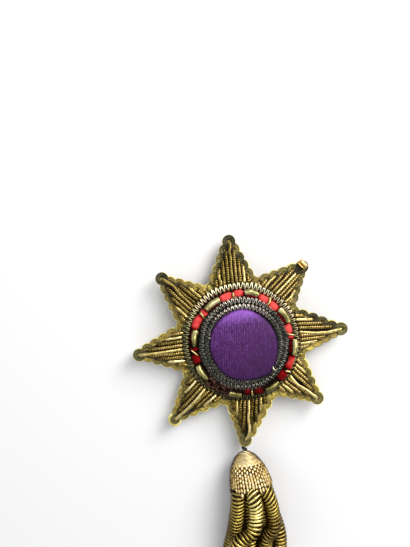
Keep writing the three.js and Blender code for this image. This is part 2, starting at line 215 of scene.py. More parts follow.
# %% [markdown]
# Thread on the badge is couched: laid along the cloth and held down at a few stitches. Its line
# is made in the same way, from a few places through which a smooth curve is laid. Hand work is
# never quite even, and a slow random waver stands for that. A Bezier curve object would do too,
# but plain arrays can be bent and measured further.

# %% Smooth lines
def curve(places, step):
    """A smooth line through the places with stations an even step apart: between neighbours it is
    the cubic whose slopes at both ends are the mean slopes there."""
    places = np.asarray(places, float)
    knots = np.append(0, np.cumsum(np.linalg.norm(np.diff(places, axis=0), axis=1)))
    slopes = np.gradient(places, knots, axis=0)
    at = np.linspace(0, knots[-1], max(4, int(np.ceil(knots[-1] / step)) + 1))
    k = np.clip(np.searchsorted(knots, at, side="right") - 1, 0, len(knots) - 2)
    width = (knots[k + 1] - knots[k])[:, None]
    t = (at - knots[k])[:, None] / width
    start, end = places[k], places[k + 1]
    return (start * (1 + 2 * t) * (1 - t) ** 2 + end * t * t * (3 - 2 * t)
            + slopes[k] * width * t * (1 - t) ** 2 + slopes[k + 1] * width * t * t * (t - 1))


def run_of(line, closed=False):
    """How far each station is along a line, and the line's direction there."""
    if closed:
        along = unit(np.roll(line, -1, 0) - np.roll(line, 1, 0))
    else:
        along = unit(np.gradient(line, axis=0))
    steps = np.linalg.norm(np.diff(line, axis=0), axis=1)
    return np.append(0, np.cumsum(steps)), along


def waver(count, rng, bends):
    """Smooth hand-made unevenness from -1 to 1: a few random values with a cosine blend between."""
    knots = rng.uniform(-1, 1, bends + 1)
    at = np.linspace(0, bends, count)
    k = np.minimum(at.astype(int), bends - 1)
    t = (1 - np.cos(np.pi * (at - k))) / 2
    return knots[k] * (1 - t) + knots[k + 1] * t


print("stations of a 10 mm line:", len(curve([(0, 0, 0), (10, 0, 0)], 0.5)))

# %% [markdown]
# Most of this badge is wire and thread, so one tool matters more than the others: a round bar
# that follows a line. At every station it needs a ring that stands square to the line. The ring
# is turned by a direction that the caller knows, such as up, or away from the coil's middle,
# which keeps a long helix from twisting.

# %% Bars along lines
def full_turn(count):
    """Even directions round a full turn, in radians."""
    return 2 * np.pi * np.arange(count) / count


def column(values):
    """Values with one for each station are set upright as a column; others stay as they are."""
    values = np.asarray(values, float)
    return values[:, None] if values.ndim == 1 else values


def bar(line, radius, toward, sides, flat=1.0, closed=False, tone=0.5, look=0, along=None):
    """A bar along a line. Its ring at a station is line + radius * (flat * cos a * out + sin a * side),
    where out is toward made square to the line, and side is the direction crossed with out."""
    run, direction = run_of(line, closed)
    along = direction if along is None else along
    toward = np.broadcast_to(toward, line.shape)
    out = unit(toward - (toward * along).sum(1, keepdims=True) * along)
    side = np.cross(along, out)
    a = full_turn(sides)
    radius = np.broadcast_to(column(radius), (len(line), sides))
    ring = flat * np.cos(a)[None, :, None] * out[:, None] + np.sin(a)[None, :, None] * side[:, None]
    points = line[:, None] + radius[..., None] * ring
    return grid(points, run, wrap=True, ring=closed, poles=not closed, tone=column(tone), look=look)


def tapered(line, radius, tip):
    """A radius for every station that rounds off over the length tip at both ends, as a quarter
    circle: radius * sqrt(1 - (1 - d / tip)^2), where d is the distance to the nearer end."""
    run = run_of(line)[0]
    near = np.clip(np.minimum(run, run[-1] - run) / tip, 0.03, 1)
    return radius * np.sqrt(1 - (1 - near) ** 2)


UP = np.array([0.0, 0.0, 1.0])
SIDEWAYS = np.array([1.0, 0.0, 0.0])
rod = bar(np.outer(np.arange(5.0), UP), 1.0, SIDEWAYS, 8)
print("points of a rod of 5 rings of 8, with its 2 ends:", len(rod.points))

# %% [markdown]
# A finish is a small sum: so much of this colour where the thread turns away, so much of that
# one in the grooves. Blender's nodes do such sums, and written out as Python expressions they
# stay readable. The class below wraps one socket, so a * b + c adds the Math nodes by itself.

# %% Sums of sockets
class Wire:
    """A socket of a material. Arithmetic on it adds Math nodes; node() adds any other node."""

    def __init__(self, tree, socket=None):
        self.tree = tree
        self.socket = socket

    def node(self, kind, settings=None, sockets=None, out=0):
        """Adds a node: its settings first, then values or links for its sockets."""
        node = self.tree.nodes.new(kind)
        for name, value in (settings or {}).items():
            if name == "stops":
                while len(node.color_ramp.elements) < len(value):
                    node.color_ramp.elements.new(1.0)
                for element, (place, colour) in zip(node.color_ramp.elements, value):
                    element.position = place
                    element.color = colour
            else:
                setattr(node, name, value)
        for name, value in (sockets or {}).items():
            if isinstance(value, Wire):
                self.tree.links.new(value.socket, node.inputs[name])
            else:
                node.inputs[name].default_value = value
        return Wire(self.tree, node.outputs[out] if len(node.outputs) else None)

    def maths(self, operation, first, second=0.0):
        """A Math node on one or two values."""
        return self.node("ShaderNodeMath", {"operation": operation}, {0: first, 1: second})

    def __add__(self, other):
        return self.maths("ADD", self, other)

    def __sub__(self, other):
        return self.maths("SUBTRACT", self, other)

    def __rsub__(self, other):
        return self.maths("SUBTRACT", other, self)

    def __mul__(self, other):
        return self.maths("MULTIPLY", self, other)

    __radd__ = __add__
    __rmul__ = __mul__

    def sine(self):
        """The sine of the value, for waves."""
        return self.maths("SINE", self)

    def clamped(self):
        """The value held between 0 and 1."""
        return self.node("ShaderNodeClamp", {}, {"Value": self})

    def ramp(self, *stops):
        """The value as a colour, from stops of a place and a colour."""
        return self.node("ShaderNodeValToRGB", {"stops": stops}, {"Fac": self})


print("a Wire can:", [name for name in vars(Wire) if not name.startswith("__")])

# %% [markdown]
# Every finish starts as an empty material and ends with the same three nodes: a Bump node for its fine
# relief, the Principled shader and the output. Colours are given on the usual scale and turned into the
# linear values that a shader works with.

# %% Starting and closing a finish
def rgb(red, green, blue):
    """A colour given on the 0 to 255 scale, as the linear values that a shader takes."""
    share = np.array([red, green, blue]) / 255
    linear = np.where(share <= 0.04045, share / 12.92, ((share + 0.055) / 1.055) ** 2.4)
    return (*linear.tolist(), 1.0)


def start_finish(name):
    """A new material and its first Wire, with the shader's own nodes cleared away."""
    material = bpy.data.materials.new(name)
    material.use_nodes = True
    material.node_tree.nodes.clear()
    print("finish:", name)
    return material, Wire(material.node_tree)


def end_finish(wire, height, distance, **sockets):
    """Closes a finish: a Bump node from the height, the shader, and the output."""
    if height is not None:
        relief = {"Height": height, "Distance": distance * MM, "Strength": 1.0}
        sockets["Normal"] = wire.node("ShaderNodeBump", {}, relief)
    named = {name.replace("_", " "): value for name, value in sockets.items()}
    shader = wire.node("ShaderNodeBsdfPrincipled", {}, named)
    wire.node("ShaderNodeOutputMaterial", {}, {"Surface": shader})


print("a pale gold in linear light:", [round(c, 3) for c in rgb(205, 180, 105)])

# %% [markdown]
# A finish may vary with three things: the place on the badge, for stains and grain; the place
# along a thread, for its turns; and the tone that the mesh carries at each point, for what the
# hand and the years did to a piece. None of them moves with the eye, so the badge keeps its
# marks from every side.

# %% What a finish reads
def place_of(wire, scale=1.0):
    """The place on the badge in millimetres, times a scale."""
    place = wire.node("ShaderNodeTexCoord", out="Object")
    return place.node("ShaderNodeVectorMath", {"operation": "SCALE"}, {0: place, "Scale": scale / MM})


def noise(wire, scale, detail=2.0, rough=0.5, place=None):
    """Even noise, about 0.5 on the whole; scale is how many blobs lie along a millimetre."""
    place = place_of(wire, scale) if place is None else place
    grain = {"Vector": place, "Scale": 1.0, "Detail": detail, "Roughness": rough}
    return wire.node("ShaderNodeTexNoise", {}, grain)


def share_of(wire, vector, axis):
    """One of a vector's three numbers: 0 across the badge, 1 along it, 2 above the table."""
    return wire.node("ShaderNodeSeparateXYZ", {}, {0: vector}, out=axis)


def laid(wire, axis):
    """The place along a thread in millimetres (0) or round it from 0 to 1 (1)."""
    return share_of(wire, wire.node("ShaderNodeUVMap", {"uv_map": "laid"}), axis)


def tone_of(wire):
    """The tone that the mesh carries at its points, from dark at 0 to pale at 1."""
    return wire.node("ShaderNodeAttribute", {"attribute_name": "tone"}, out="Fac")


print("scale that turns Blender's metres into millimetres:", 1 / MM)

# %% [markdown]
# The table is plain white paper. It isn't part of the badge and only catches the shadows, so one
# large flat face is enough. A faint glow of its own keeps the paper white between the lamps.

# %% Table
paper, w = start_finish("white_paper")
end_finish(w, None, 0, Base_Color=rgb(206, 206, 208), Roughness=0.9,
           Emission_Color=(1, 1, 1, 1), Emission_Strength=0.06)
TABLE_REACH = 900.0
corners = np.array([[[-1, -1, 0], [1, -1, 0]], [[-1, 1, 0], [1, 1, 0]]]) * TABLE_REACH
table_mesh = bpy.data.meshes.new("table")
table_mesh.from_pydata((corners.reshape(-1, 3) * MM).tolist(), [], [(0, 1, 3, 2)])
table_mesh.materials.append(paper)
table = bpy.data.objects.new("table", table_mesh)
bpy.context.scene.collection.objects.link(table)
table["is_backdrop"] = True
print("table edge in mm:", TABLE_REACH)

# %% [markdown]
# The star was drawn and worked by hand, so no two of its points are alike. Each has a tip, a
# root where its middle line leaves the ring, and a notch before the next point. Everything on
# the star is set out from this one table: spangles along the edges, and lines of purl from the
# ring to the spangles. "worn" is how far the middle line ends short of its tip, "margin" is how
# much cloth shows past the edge, and the last two columns move the spangles of a side outward,
# or inward where the side is hollow. A second table gives each point's tone for its purl, its tip spangle and
# the spangles of its two sides. Its purl column is painted light: it darkens the north, north-west and south
# points and lightens the east and south-east ones, as the light falls on their lines.

# %% The star's layout
COLUMNS = ("name", "tip", "reach", "root", "notch", "worn", "margin", "tip_size", "right_out", "left_out")
ROWS = [
    ("east", 7.0, 37.9, 9.8, 33.4, 0.0, -0.1, 1.0, -0.55, -0.5),
    ("north_east", 50.6, 36.1, 54.1, 77.0, 3.4, -0.1, 1.0, -0.35, 0.15),
    ("north", 96.9, 37.7, 98.4, 120.8, 0.0, -0.1, 1.0, -0.15, 0.05),
    ("north_west", 141.8, 37.8, 144.2, 166.6, 0.0, -0.05, 1.0, -0.75, -0.25),
    ("west", 187.8, 38.5, 187.4, 209.5, 0.0, -0.05, 0.95, 0.05, -0.75),
    ("south_west", 229.9, 38.4, 232.8, 258.7, 0.0, 0.2, 0.68, -0.6, -1.1),
    ("south", 272.6, 37.0, 277.5, 302.5, 0.0, 0.3, 0.95, -0.35, 0.0),
    ("south_east", 323.3, 35.7, 325.7, 349.0, 0.0, 0.15, 0.95, -0.65, -0.45),
]
# The purl column is painted light, set by how the light falls on each point's lines; the spangle columns give
# the tone of the tip spangle and of each side's spangles.
POINT_TONE_COLUMNS = ("purl", "tip_spangle", "right_spangles", "left_spangles")
POINT_TONE_ROWS = [
    (0.03, 0.15, 0.45, 0.2),
    (0.02, 0.1, 0.3, 0.25),
    (-0.1, 0.05, 0.24, 0.3),
    (-0.14, 0.12, 0.5, 0.45),
    (0.0, 0.1, 0.46, 0.5),
    (0.0, 0.25, 0.38, 0.48),
    (-0.2, 0.25, 0.42, 0.6),
    (0.04, 0.28, 0.46, 0.4),
]
POINTS = [dict(zip(COLUMNS, row)) for row in ROWS]
POINT_TONES = [dict(zip(POINT_TONE_COLUMNS, row)) for row in POINT_TONE_ROWS]
NOTCH_RADIUS = 21.7
ROOT_RADIUS = 21.5
SPANGLE_RADIUS = 2.4
PER_SIDE = 5
PER_POINT = 2 * PER_SIDE + 1
SIDE_STEPS = 5.4
CLOTH_TOP = 1.5
PAD_THICK = 4.5
print("from tip to tip in mm:", round(POINTS[0]["reach"] + POINTS[4]["reach"] + 2 * SPANGLE_RADIUS, 1))

# %% [markdown]
# Directions and distances become places in millimetres here, once for all. The axis of a point
# runs from its root to its tip, and leftward lies square to it, so that every later step can say
# so far out and so far to the side. The pieces of the star are worked as if its cloth lay on the
# table, as on an embroiderer's frame, and one small function then lifts them by the pad.

# %% Places on the star
def polar(radius, degrees):
    """Places at a distance and a direction from the middle, in the plane of the badge."""
    a = np.radians(degrees)
    return np.stack([radius * np.cos(a), radius * np.sin(a)], -1)


def lift(flat, height):
    """Flat places with a height added as their third number."""
    flat = np.asarray(flat, float)
    tall = np.broadcast_to(np.asarray(height, float)[..., None], flat.shape[:-1] + (1,))
    return np.concatenate([flat, tall], -1)


TIPS = polar(np.array([p["reach"] for p in POINTS]), np.array([p["tip"] for p in POINTS]))
ROOTS = polar(ROOT_RADIUS, np.array([p["root"] for p in POINTS]))
LEFT = polar(NOTCH_RADIUS, np.array([p["notch"] for p in POINTS]))
RIGHT = np.roll(LEFT, 1, 0)
AXES = unit(TIPS - ROOTS)
LEFTWARD = np.stack([-AXES[:, 1], AXES[:, 0]], 1)


def spangle_middle(i, k):
    """Spangle k of point i: from the tip towards the notch in even steps, k > 0 counter-clockwise,
    moved off to the side by the point's own measure, which fades at the tip and at the notch."""
    notch = LEFT[i] if k > 0 else RIGHT[i]
    out = POINTS[i]["left_out" if k > 0 else "right_out"] * min(abs(k), 1.0, 3 - abs(k) / 2)
    return TIPS[i] + (notch - TIPS[i]) * abs(k) / SIDE_STEPS + LEFTWARD[i] * np.sign(k) * out


def make_star_piece(*rest, **more):
    """A piece of the star: worked as if its cloth lay on the table, then raised by the pad."""
    return make_piece(*rest, lift_by=PAD_THICK, **more)


STRING = np.array([spangle_middle(i, k) for i in range(len(POINTS)) for k in range(-PER_SIDE, PER_SIDE + 1)])
print("spangles round the edge:", len(STRING))

# %% [markdown]
# The ground is a yellow cotton cloth on stiff backing, cut out just outside the spangles. Its
# cut edge is the soft yellow line that shows below the lower points. The outline is a row of
# arcs, one about each spangle, and the cloth is a grid from that outline inward over a smaller
# star to the middle, on both faces. A boolean union of 88 discs would give the same outline
# with messy faces.

# %% Outlines of the cloth and its pad
ARC_STEPS = 9


def scalloped(middles, radius):
    """The outer outline of a closed row of rounds: on each round, an arc from its crossing with
    the round before to its crossing with the round after."""
    after = np.roll(middles, -1, 0)
    step = after - middles
    away = unit(np.stack([step[:, 1], -step[:, 0]], 1))
    reach = np.sqrt(radius ** 2 - (step ** 2).sum(1) / 4)
    cross = (middles + after) / 2 + away * reach[:, None]
    start = np.roll(cross, 1, 0) - middles
    end = cross - middles
    first = np.arctan2(start[:, 1], start[:, 0])
    turn = (np.arctan2(end[:, 1], end[:, 0]) - first) % (2 * np.pi)
    angle = first[:, None] + turn[:, None] * np.arange(ARC_STEPS) / ARC_STEPS
    return (middles[:, None] + radius * np.stack([np.cos(angle), np.sin(angle)], -1)).reshape(-1, 2)


def star_line(pull_tip, pull_notch):
    """A smaller star with a place for every place of the outline: straight from each tip, pulled
    in along its axis, to each notch, pulled in towards the middle."""
    inner = []
    for i in range(len(POINTS)):
        tip = TIPS[i] - AXES[i] * pull_tip
        spot = np.linspace(-PER_SIDE - 0.5, PER_SIDE + 0.5, PER_POINT * ARC_STEPS)
        share = np.minimum(np.abs(spot) / SIDE_STEPS, 1.0)
        notch = np.where(spot[:, None] > 0, LEFT[i], RIGHT[i]) * (1 - pull_notch / NOTCH_RADIUS)
        inner.append(tip + (notch - tip) * share[:, None])
    return np.concatenate(inner)


def inset_star(distance, per_side=10):
    """The star through tips and notches with its sides moved inward, in even steps along each
    side. A corner lies where two moved sides cross."""
    corners = np.stack([TIPS, LEFT], 1).reshape(-1, 2)
    along = unit(np.roll(corners, -1, 0) - corners)
    inward = np.stack([-along[:, 1], along[:, 0]], 1)
    moved = corners + distance * inward
    before, there = np.roll(moved, 1, 0), np.roll(along, 1, 0)
    travel = ((moved - before) * inward).sum(1) / (there * inward).sum(1)
    crossing = before + there * travel[:, None]
    share = np.arange(per_side)[None, :, None] / per_side
    return (crossing[:, None] * (1 - share) + np.roll(crossing, -1, 0)[:, None] * share).reshape(-1, 2)


MARGIN = 0.18
SLIP = -0.1
FRAY = {"random": 0.05, "wave": 0.07, "turn": 0.9}
INNER_STAR = {"pull_tip": 3.4, "pull_notch": 1.6}
PAD_INSET = 1.3
rng = np.random.default_rng(11)
outline = scalloped(STRING + [0, SLIP], SPANGLE_RADIUS + MARGIN)
fray = rng.normal(0, FRAY["random"], len(outline))
fray = fray + FRAY["wave"] * np.sin(np.arange(len(outline)) * FRAY["turn"])
shows = np.repeat([p["margin"] for p in POINTS], PER_POINT * ARC_STEPS)
outline = outline + unit(outline) * (fray + shows)[:, None]
inner = star_line(**INNER_STAR)
board = inset_star(PAD_INSET)
print("outline corners:", len(outline), "corners of the pad:", len(board))

# %% [markdown]
# The cloth is warm yellow cotton in a fine plain weave, which is a pair of crossed waves, soiled in wide
# patches. Everything padded on the badge is filled with the same brown felt: the firm pad under the cloth,
# the padding of the points and the bed of the outer ring. The felt is darker than felt is, so where it shows
# between the lines and rings it is also painted shade. Both are matt, and the hairs are only bump, because
# single hairs would be too fine to be seen.

# %% Cotton and felt
def yellow_cotton():
    """Warm yellow cotton: a fine plain weave, darker where the dye has worn or soiled."""
    material, w = start_finish("yellow_cotton")
    across = share_of(w, place_of(w), 0)
    down = share_of(w, place_of(w), 1)
    weave = (across * 18.0).sine() * (down * 18.0).sine() * 0.5 + 0.5
    fuzz = noise(w, 2.5, 3.0, 0.7)
    soil = noise(w, 0.16, 2.0)
    colour = (soil * 0.75 + fuzz * 0.3 + weave * 0.08 - 0.05).ramp(
        (0.30, rgb(136, 116, 46)), (0.47, rgb(204, 186, 86)), (0.7, rgb(238, 230, 148)))
    end_finish(w, weave * 0.5 + fuzz, 0.12, Base_Color=colour, Roughness=0.92,
               Sheen_Weight=0.4, Sheen_Roughness=0.5)
    return material


def felt_and_gap_shade():
    """Brown felt that shows between the lines, matt and hairy, darker than felt so that it also stands as
    painted shade in the gaps.
    """
    material, w = start_finish("brown_padding_and_painted_shade")
    fuzz = noise(w, 3.0, 3.0, 0.7)
    colour = fuzz.ramp((0.35, rgb(15, 10, 3)), (0.65, rgb(54, 40, 14)))
    end_finish(w, fuzz, 0.2, Base_Color=colour, Roughness=0.85)
    return material


COTTON = yellow_cotton()
FELT_AND_GAP_SHADE = felt_and_gap_shade()

# %% [markdown]
# The badge throws a wide shadow, so its cloth must stand off the table: under it is a firm pad,
# cut a little smaller than the star. On the cloth, under the rings and the button, the felt is
# built up as a low boss. All three are stacks of closed lines, given as tables: which line, how
# large, and how high. One loop can then make any of them.

# %% Ground cloth
CLOTH_SECTION = [  # share of the outline, the rest being the inner star; size; height
    (0.0, 0.05, 0.03),
    (0.0, 0.5, 0.03),
    (0.0, 1.0, 0.03),
    (0.3, 1.0, 0.03),
    (0.9, 1.0, 0.1),
    (1.0, 1.0, 0.35),
    (1.0, 1.002, 0.9),
    (1.0, 1.0, 1.25),
    (0.93, 1.0, CLOTH_TOP + 0.05),
    (0.6, 1.0, CLOTH_TOP),
    (0.0, 1.0, CLOTH_TOP),
    (0.0, 0.5, CLOTH_TOP),
    (0.0, 0.05, CLOTH_TOP),
]
PAD_SECTION = [  # size, height
    (0.05, 0.0),
    (0.5, 0.0),
    (0.99, 0.0),
    (1.0, 0.3),
    (1.0, PAD_THICK),
    (0.5, PAD_THICK + 0.1),
    (0.05, PAD_THICK + 0.1),
]
# The boss's foot reaches out under the outer ring, so that its dark felt shows there as painted shade instead
# of the yellow cloth.
BOSS_CENTRE = np.array([0.85, -0.65])
BOSS_SECTION = [(20.3, 1.3), (20.1, 1.9), (18.2, 2.8), (15, 3.4), (12.2, 4.3), (1, 4.4)]  # radius, height
around = np.arange(0, 360, 7.5)
sections = [
    [lift((outline * part + inner * (1 - part)) * size, height) for part, size, height in CLOTH_SECTION],
    [lift(board * size, height - PAD_THICK) for size, height in PAD_SECTION],
    [lift(BOSS_CENTRE + polar(radius, around), height) for radius, height in BOSS_SECTION],
]
layers = [grid(np.stack(rows), wrap=True, poles=True, look=look) for rows, look in zip(sections, (0, 1, 1))]
make_star_piece("ground_cloth", layers, [COTTON, FELT_AND_GAP_SHADE], "ground_cloth", ["star_ground"])

# %% [markdown]
# Under each point's lines lies a strip of padding, which makes the point swell in the middle and shows as the
# dark gap between two lines, its dark partly painted shade. It is a flat bar that narrows towards the tip.

# %% Padding under the points
PADDING = {"height": 1.95, "root_width": 6.4, "tip_width": 0.7, "flat": 0.17, "before": 1.5, "past": 0.2}
share = np.linspace(0, 1, 12)
width = PADDING["root_width"] * (1 - share) ** 0.9 + PADDING["tip_width"]
padding = []
for tip, root, axis in zip(TIPS, ROOTS, AXES):
    strip = root - axis * PADDING["before"] + (tip - root + axis * PADDING["past"]) * share[:, None]
    padding.append(bar(lift(strip, PADDING["height"]), width, UP, sides=16, flat=PADDING["flat"]))
make_star_piece("point_padding", padding, [FELT_AND_GAP_SHADE], "ground_cloth")

# %% [markdown]
# Spangles are small cupped discs of gilt metal with a hole in the middle, threaded on and sewn
# down so that each one covers the edge of its neighbour. Here each is a ring-shaped grid of 140
# faces: a thin section carried once round the hole. The metal has gone dull, and stays yellower
# where it is rubbed. It is little more than half metal, because tarnish scatters the light.

# %% Spangles
HOLE = 0.5
SPANGLE_SECTION = np.array([  # distance from the middle, height
    (0.52, -0.08), (1.3, -0.05), (2.34, 0.1), (2.4, 0.2), (2.1, 0.12), (1.3, 0.04), (0.5, 0.02)])
SPANGLE_SIDES = 20


def spangle(middle, height, slope, size, tone):
    """A cupped disc turned about its own middle and tipped: height + r * slope in the slope's
    direction is added to the section's own height. The hole keeps its width in a small disc."""
    a = full_turn(SPANGLE_SIDES)
    out, tall = SPANGLE_SECTION.T
    flat = (HOLE + (out - HOLE) * size)[:, None, None] * np.stack([np.cos(a), np.sin(a)], 1)
    tall = height + tall[:, None] + flat @ slope
    return grid(lift(middle + flat, tall), u=out, wrap=True, ring=True, tone=tone)


def dull_gilt():
    """Tarnished gilt sheet: olive and brown patches, a darker rim and a fine scratch of bump."""
    material, w = start_finish("dull_gilt_spangle")
    cloud = noise(w, 0.7, 3.0, 0.6)
    speck = noise(w, 2.0, 3.0, 0.7)
    rim = ((laid(w, 0) - 1.9) * 3.0).clamped()
    shade = tone_of(w) * 0.9 + cloud * 0.5 + speck * 1.0 - rim * 0.06 - 0.68
    colour = shade.ramp((0.1, rgb(50, 46, 24)), (0.32, rgb(104, 98, 56)), (0.52, rgb(150, 126, 56)),
                        (0.75, rgb(206, 190, 94)), (0.95, rgb(226, 214, 124)))
    end_finish(w, speck + cloud, 0.16, Base_Color=colour, Metallic=0.6, Roughness=cloud * 0.3 + 0.35)
    return material


DULL_GILT = dull_gilt()

# %% [markdown]
# The string of spangles runs round the whole star, five on each side of a point and one on its
# tip. Each is tipped a little, so that it lies over the next one towards the notch, and none sits
# quite in its place. The one on the tip lies flat on top of its neighbours and is the darkest.
# The hand's unevenness is a few random numbers, drawn in the same order each time.

# %% String of spangles
SEWN = {"height": 0.28, "tip_height": 0.42, "steep": 0.055, "tip_over": 0.08, "drift": 0.15, "tone": 0.14,
        "sizes": (0.9, 1.02)}
NOTCH_GLOW = {"more": 0.12, "from": 0.6}
rng = np.random.default_rng(21)
spangles = []
for i, point_tone in enumerate(POINT_TONES):
    for k in range(-PER_SIDE, PER_SIDE + 1):
        notch = LEFT[i] if k > 0 else RIGHT[i]
        slope = unit(notch - TIPS[i]) * (SEWN["steep"] if k else 0.0)
        slope = slope + rng.uniform(-SEWN["tip_over"], SEWN["tip_over"], 2) * (k != 0)
        height = CLOTH_TOP + (SEWN["height"] if k else SEWN["tip_height"])
        tone = point_tone["tip_spangle" if k == 0 else "left_spangles" if k > 0 else "right_spangles"]
        tone = tone + (NOTCH_GLOW["more"] * (abs(k) / PER_SIDE - NOTCH_GLOW["from"]) if k else 0.0)
        tone = tone + rng.uniform(-SEWN["tone"], SEWN["tone"])
        size = rng.uniform(*SEWN["sizes"]) if k else POINTS[i]["tip_size"]
        middle = spangle_middle(i, k) + rng.uniform(-SEWN["drift"], SEWN["drift"], 2) * (k != 0)
        spangles.append(spangle(middle, height, slope, size, tone))
make_star_piece("spangles", spangles, [DULL_GILT], "spangle", ["spangle_edging"])

# %% [markdown]
# Each point is filled with nine lines of purl, which is a long spring of very fine gilt wire
# cut to length and sewn down. They start at the outer ring and end at their spangles. Each
# wavers a little, and a few have sprung out of place, which the table of kinks gives as sideways
# shifts at shares of their length. The lines come first, as smooth curves, and the purl later.

# %% Lines of purl
EDGE_TOP = 2.3
RAY_PITCH = 1.5
RAY_RADIUS = 0.66
RAY_RISE = 0.9
RAY_START = 21.75
SEAT = {"over": 0.3, "tip_drop": 0.35}
UNSTEADY = {"aside": 0.1, "up": 0.12}
OUTER_CENTRE = np.array([-0.1, 0.0])
KINKS = {
    ("north", 0): [(0.3, 0.16), (0.63, -0.05), (0.77, 0.3), (0.93, -0.6)],
    ("north", 3): [(0.25, -0.25), (0.45, 0.35)],
    ("south", 0): [(0.25, 0.35), (0.45, 0.3), (0.58, 0.9), (0.83, 1.25), (0.93, 0.6)],
    ("south_east", 0): [(0.33, -1.0), (0.6, -0.27)],
    ("north_west", 0): [(0.47, -0.15), (0.62, -0.75), (0.78, -0.65)],
    ("east", 0): [(0.35, -0.75), (0.68, -0.8), (0.85, -0.3)],
    ("north_east", -3): [(0.5, -0.55)],
    ("north_east", 3): [(0.5, 0.3)],
    ("south_west", 0): [(0.4, 0.35), (0.7, 0.3)],
}


def ray_line(i, k, rng):
    """The middle line of one purl: straight from where it meets the circle of the outer ring to
    its spangle, high over the padding in the middle, with its kinks and a slight waver laid on
    sideways."""
    end = spangle_middle(i, k) - AXES[i] * (POINTS[i]["worn"] if k == 0 else 0.0)
    base = ROOTS[i] + LEFTWARD[i] * k * RAY_PITCH
    outward = unit(end - base)
    from_ring = base - OUTER_CENTRE
    middle = outward @ from_ring
    start = base - outward * (middle - np.sqrt(middle ** 2 - from_ring @ from_ring + RAY_START ** 2))
    share = np.linspace(0, 1, 9)
    known = np.array([(0.0, 0.0), *KINKS.get((POINTS[i]["name"], k), []), (1.0, 0.0)])
    sideways = np.interp(share, *known.T) + UNSTEADY["aside"] * waver(len(share), rng, 4) * (1 - share)
    flat = start + (end - start) * share[:, None] + LEFTWARD[i] * sideways[:, None]
    swell = RAY_RISE * (1 - (abs(k) / PER_SIDE) ** 2)
    low = EDGE_TOP + SEAT["over"] + RAY_RADIUS
    height = low + swell * np.sin(np.pi * (0.25 + 0.75 * share)) + UNSTEADY["up"] * waver(len(share), rng, 5)
    height[-1] = low - SEAT["tip_drop"]
    return curve(lift(flat, height), 0.3)


print("lines that have sprung out of place:", len(KINKS))

# %% [markdown]
# Two kinds of purl alternate: smooth purl, which shines in one bright stroke, and rough purl,
# wound on a square needle, which breaks the light into dots. Smooth lines keep an even radius and
# get their coils as bump, because their turns are too fine to be told apart. Rough ones
# have their radius itself ruffled, round the bar as well as along it. All gold thread on the
# badge shares one recipe for its finish, with its own colours, pitch and depth.

# %% Purl and its finish
ROUGH_PITCH = 0.85
PURL_SIDES = 8


def purl(line, radius, kind, tone, look=0):
    """A piece of purl. Smooth purl is an even bar; rough purl's radius is ruffled by two waves:
    radius * (1 + 0.14 * sin(turns along + angle) + 0.08 * cos(2 * angle + 9 * run))."""
    radius = tapered(line, radius, radius)
    if kind == "rough":
        run = run_of(line)[0][:, None]
        a = full_turn(PURL_SIDES)
        wave = np.sin(2 * np.pi * run / ROUGH_PITCH + a) * 0.14 + 0.08 * np.cos(2 * a + 9 * run)
        radius = radius[:, None] * (1 + wave)
    return bar(line, radius, UP, PURL_SIDES, tone=tone, look=look)


def gilt_wire(name, pitch, depth, rough, *colours, metal=1.0):
    """Gold thread: fine coils as bump along the thread and as painted shade in their grooves, dark grime at
    random places, painted glints, and each line's own tone along the colours from the darkest to the palest."""
    material, w = start_finish(name)
    coils = (laid(w, 0) * (2 * np.pi / pitch) + laid(w, 1) * 2 * np.pi).sine() * 0.5 + 0.5
    grime = noise(w, 0.8, 3.0, 0.6)
    glint = noise(w, 1.4 / pitch, 2.0, 0.6)
    # The coils darken their grooves as painted shade, and glint adds small painted highlights.
    shade = tone_of(w) * 0.8 + grime * 0.6 + glint * 0.6 + coils * 0.25 - 0.76
    places = np.linspace(0.1, 0.85, len(colours))
    colour = shade.ramp(*((place, rgb(*shown)) for place, shown in zip(places, colours)))
    end_finish(w, coils + glint * 0.6, depth, Base_Color=colour, Metallic=metal,
               Roughness=grime * 0.25 + rough)
    return material


SMOOTH_PURL = gilt_wire("smooth_gilt_purl", 0.42, 0.05, 0.16, (86, 68, 28), (192, 170, 98), (252, 242, 196))
ROUGH_PURL = gilt_wire("rough_gilt_purl", 0.85, 0.06, 0.2,
                       (56, 44, 16), (142, 122, 60), (190, 162, 112), (240, 224, 154))

# %% [markdown]
# The nine lines are counted from the middle one outward to both sides. Each kind has its own tone, and the
# point's painted light from the second table is added to it. At the left of the badge the smooth lines are
# painted brighter, as painted highlights, and the rough ones darker. The middle lines of four points are
# darker than the rest, and that of the lowest point is brighter. All lines but the middle one fade over their
# last third.

# %% Points filled with purl
KINDS = ["smooth", "rough", "rough", "smooth", "rough"]
TONES = [0.65, 0.5, 0.48, 0.65, 0.55]
UNLIKE = 0.1
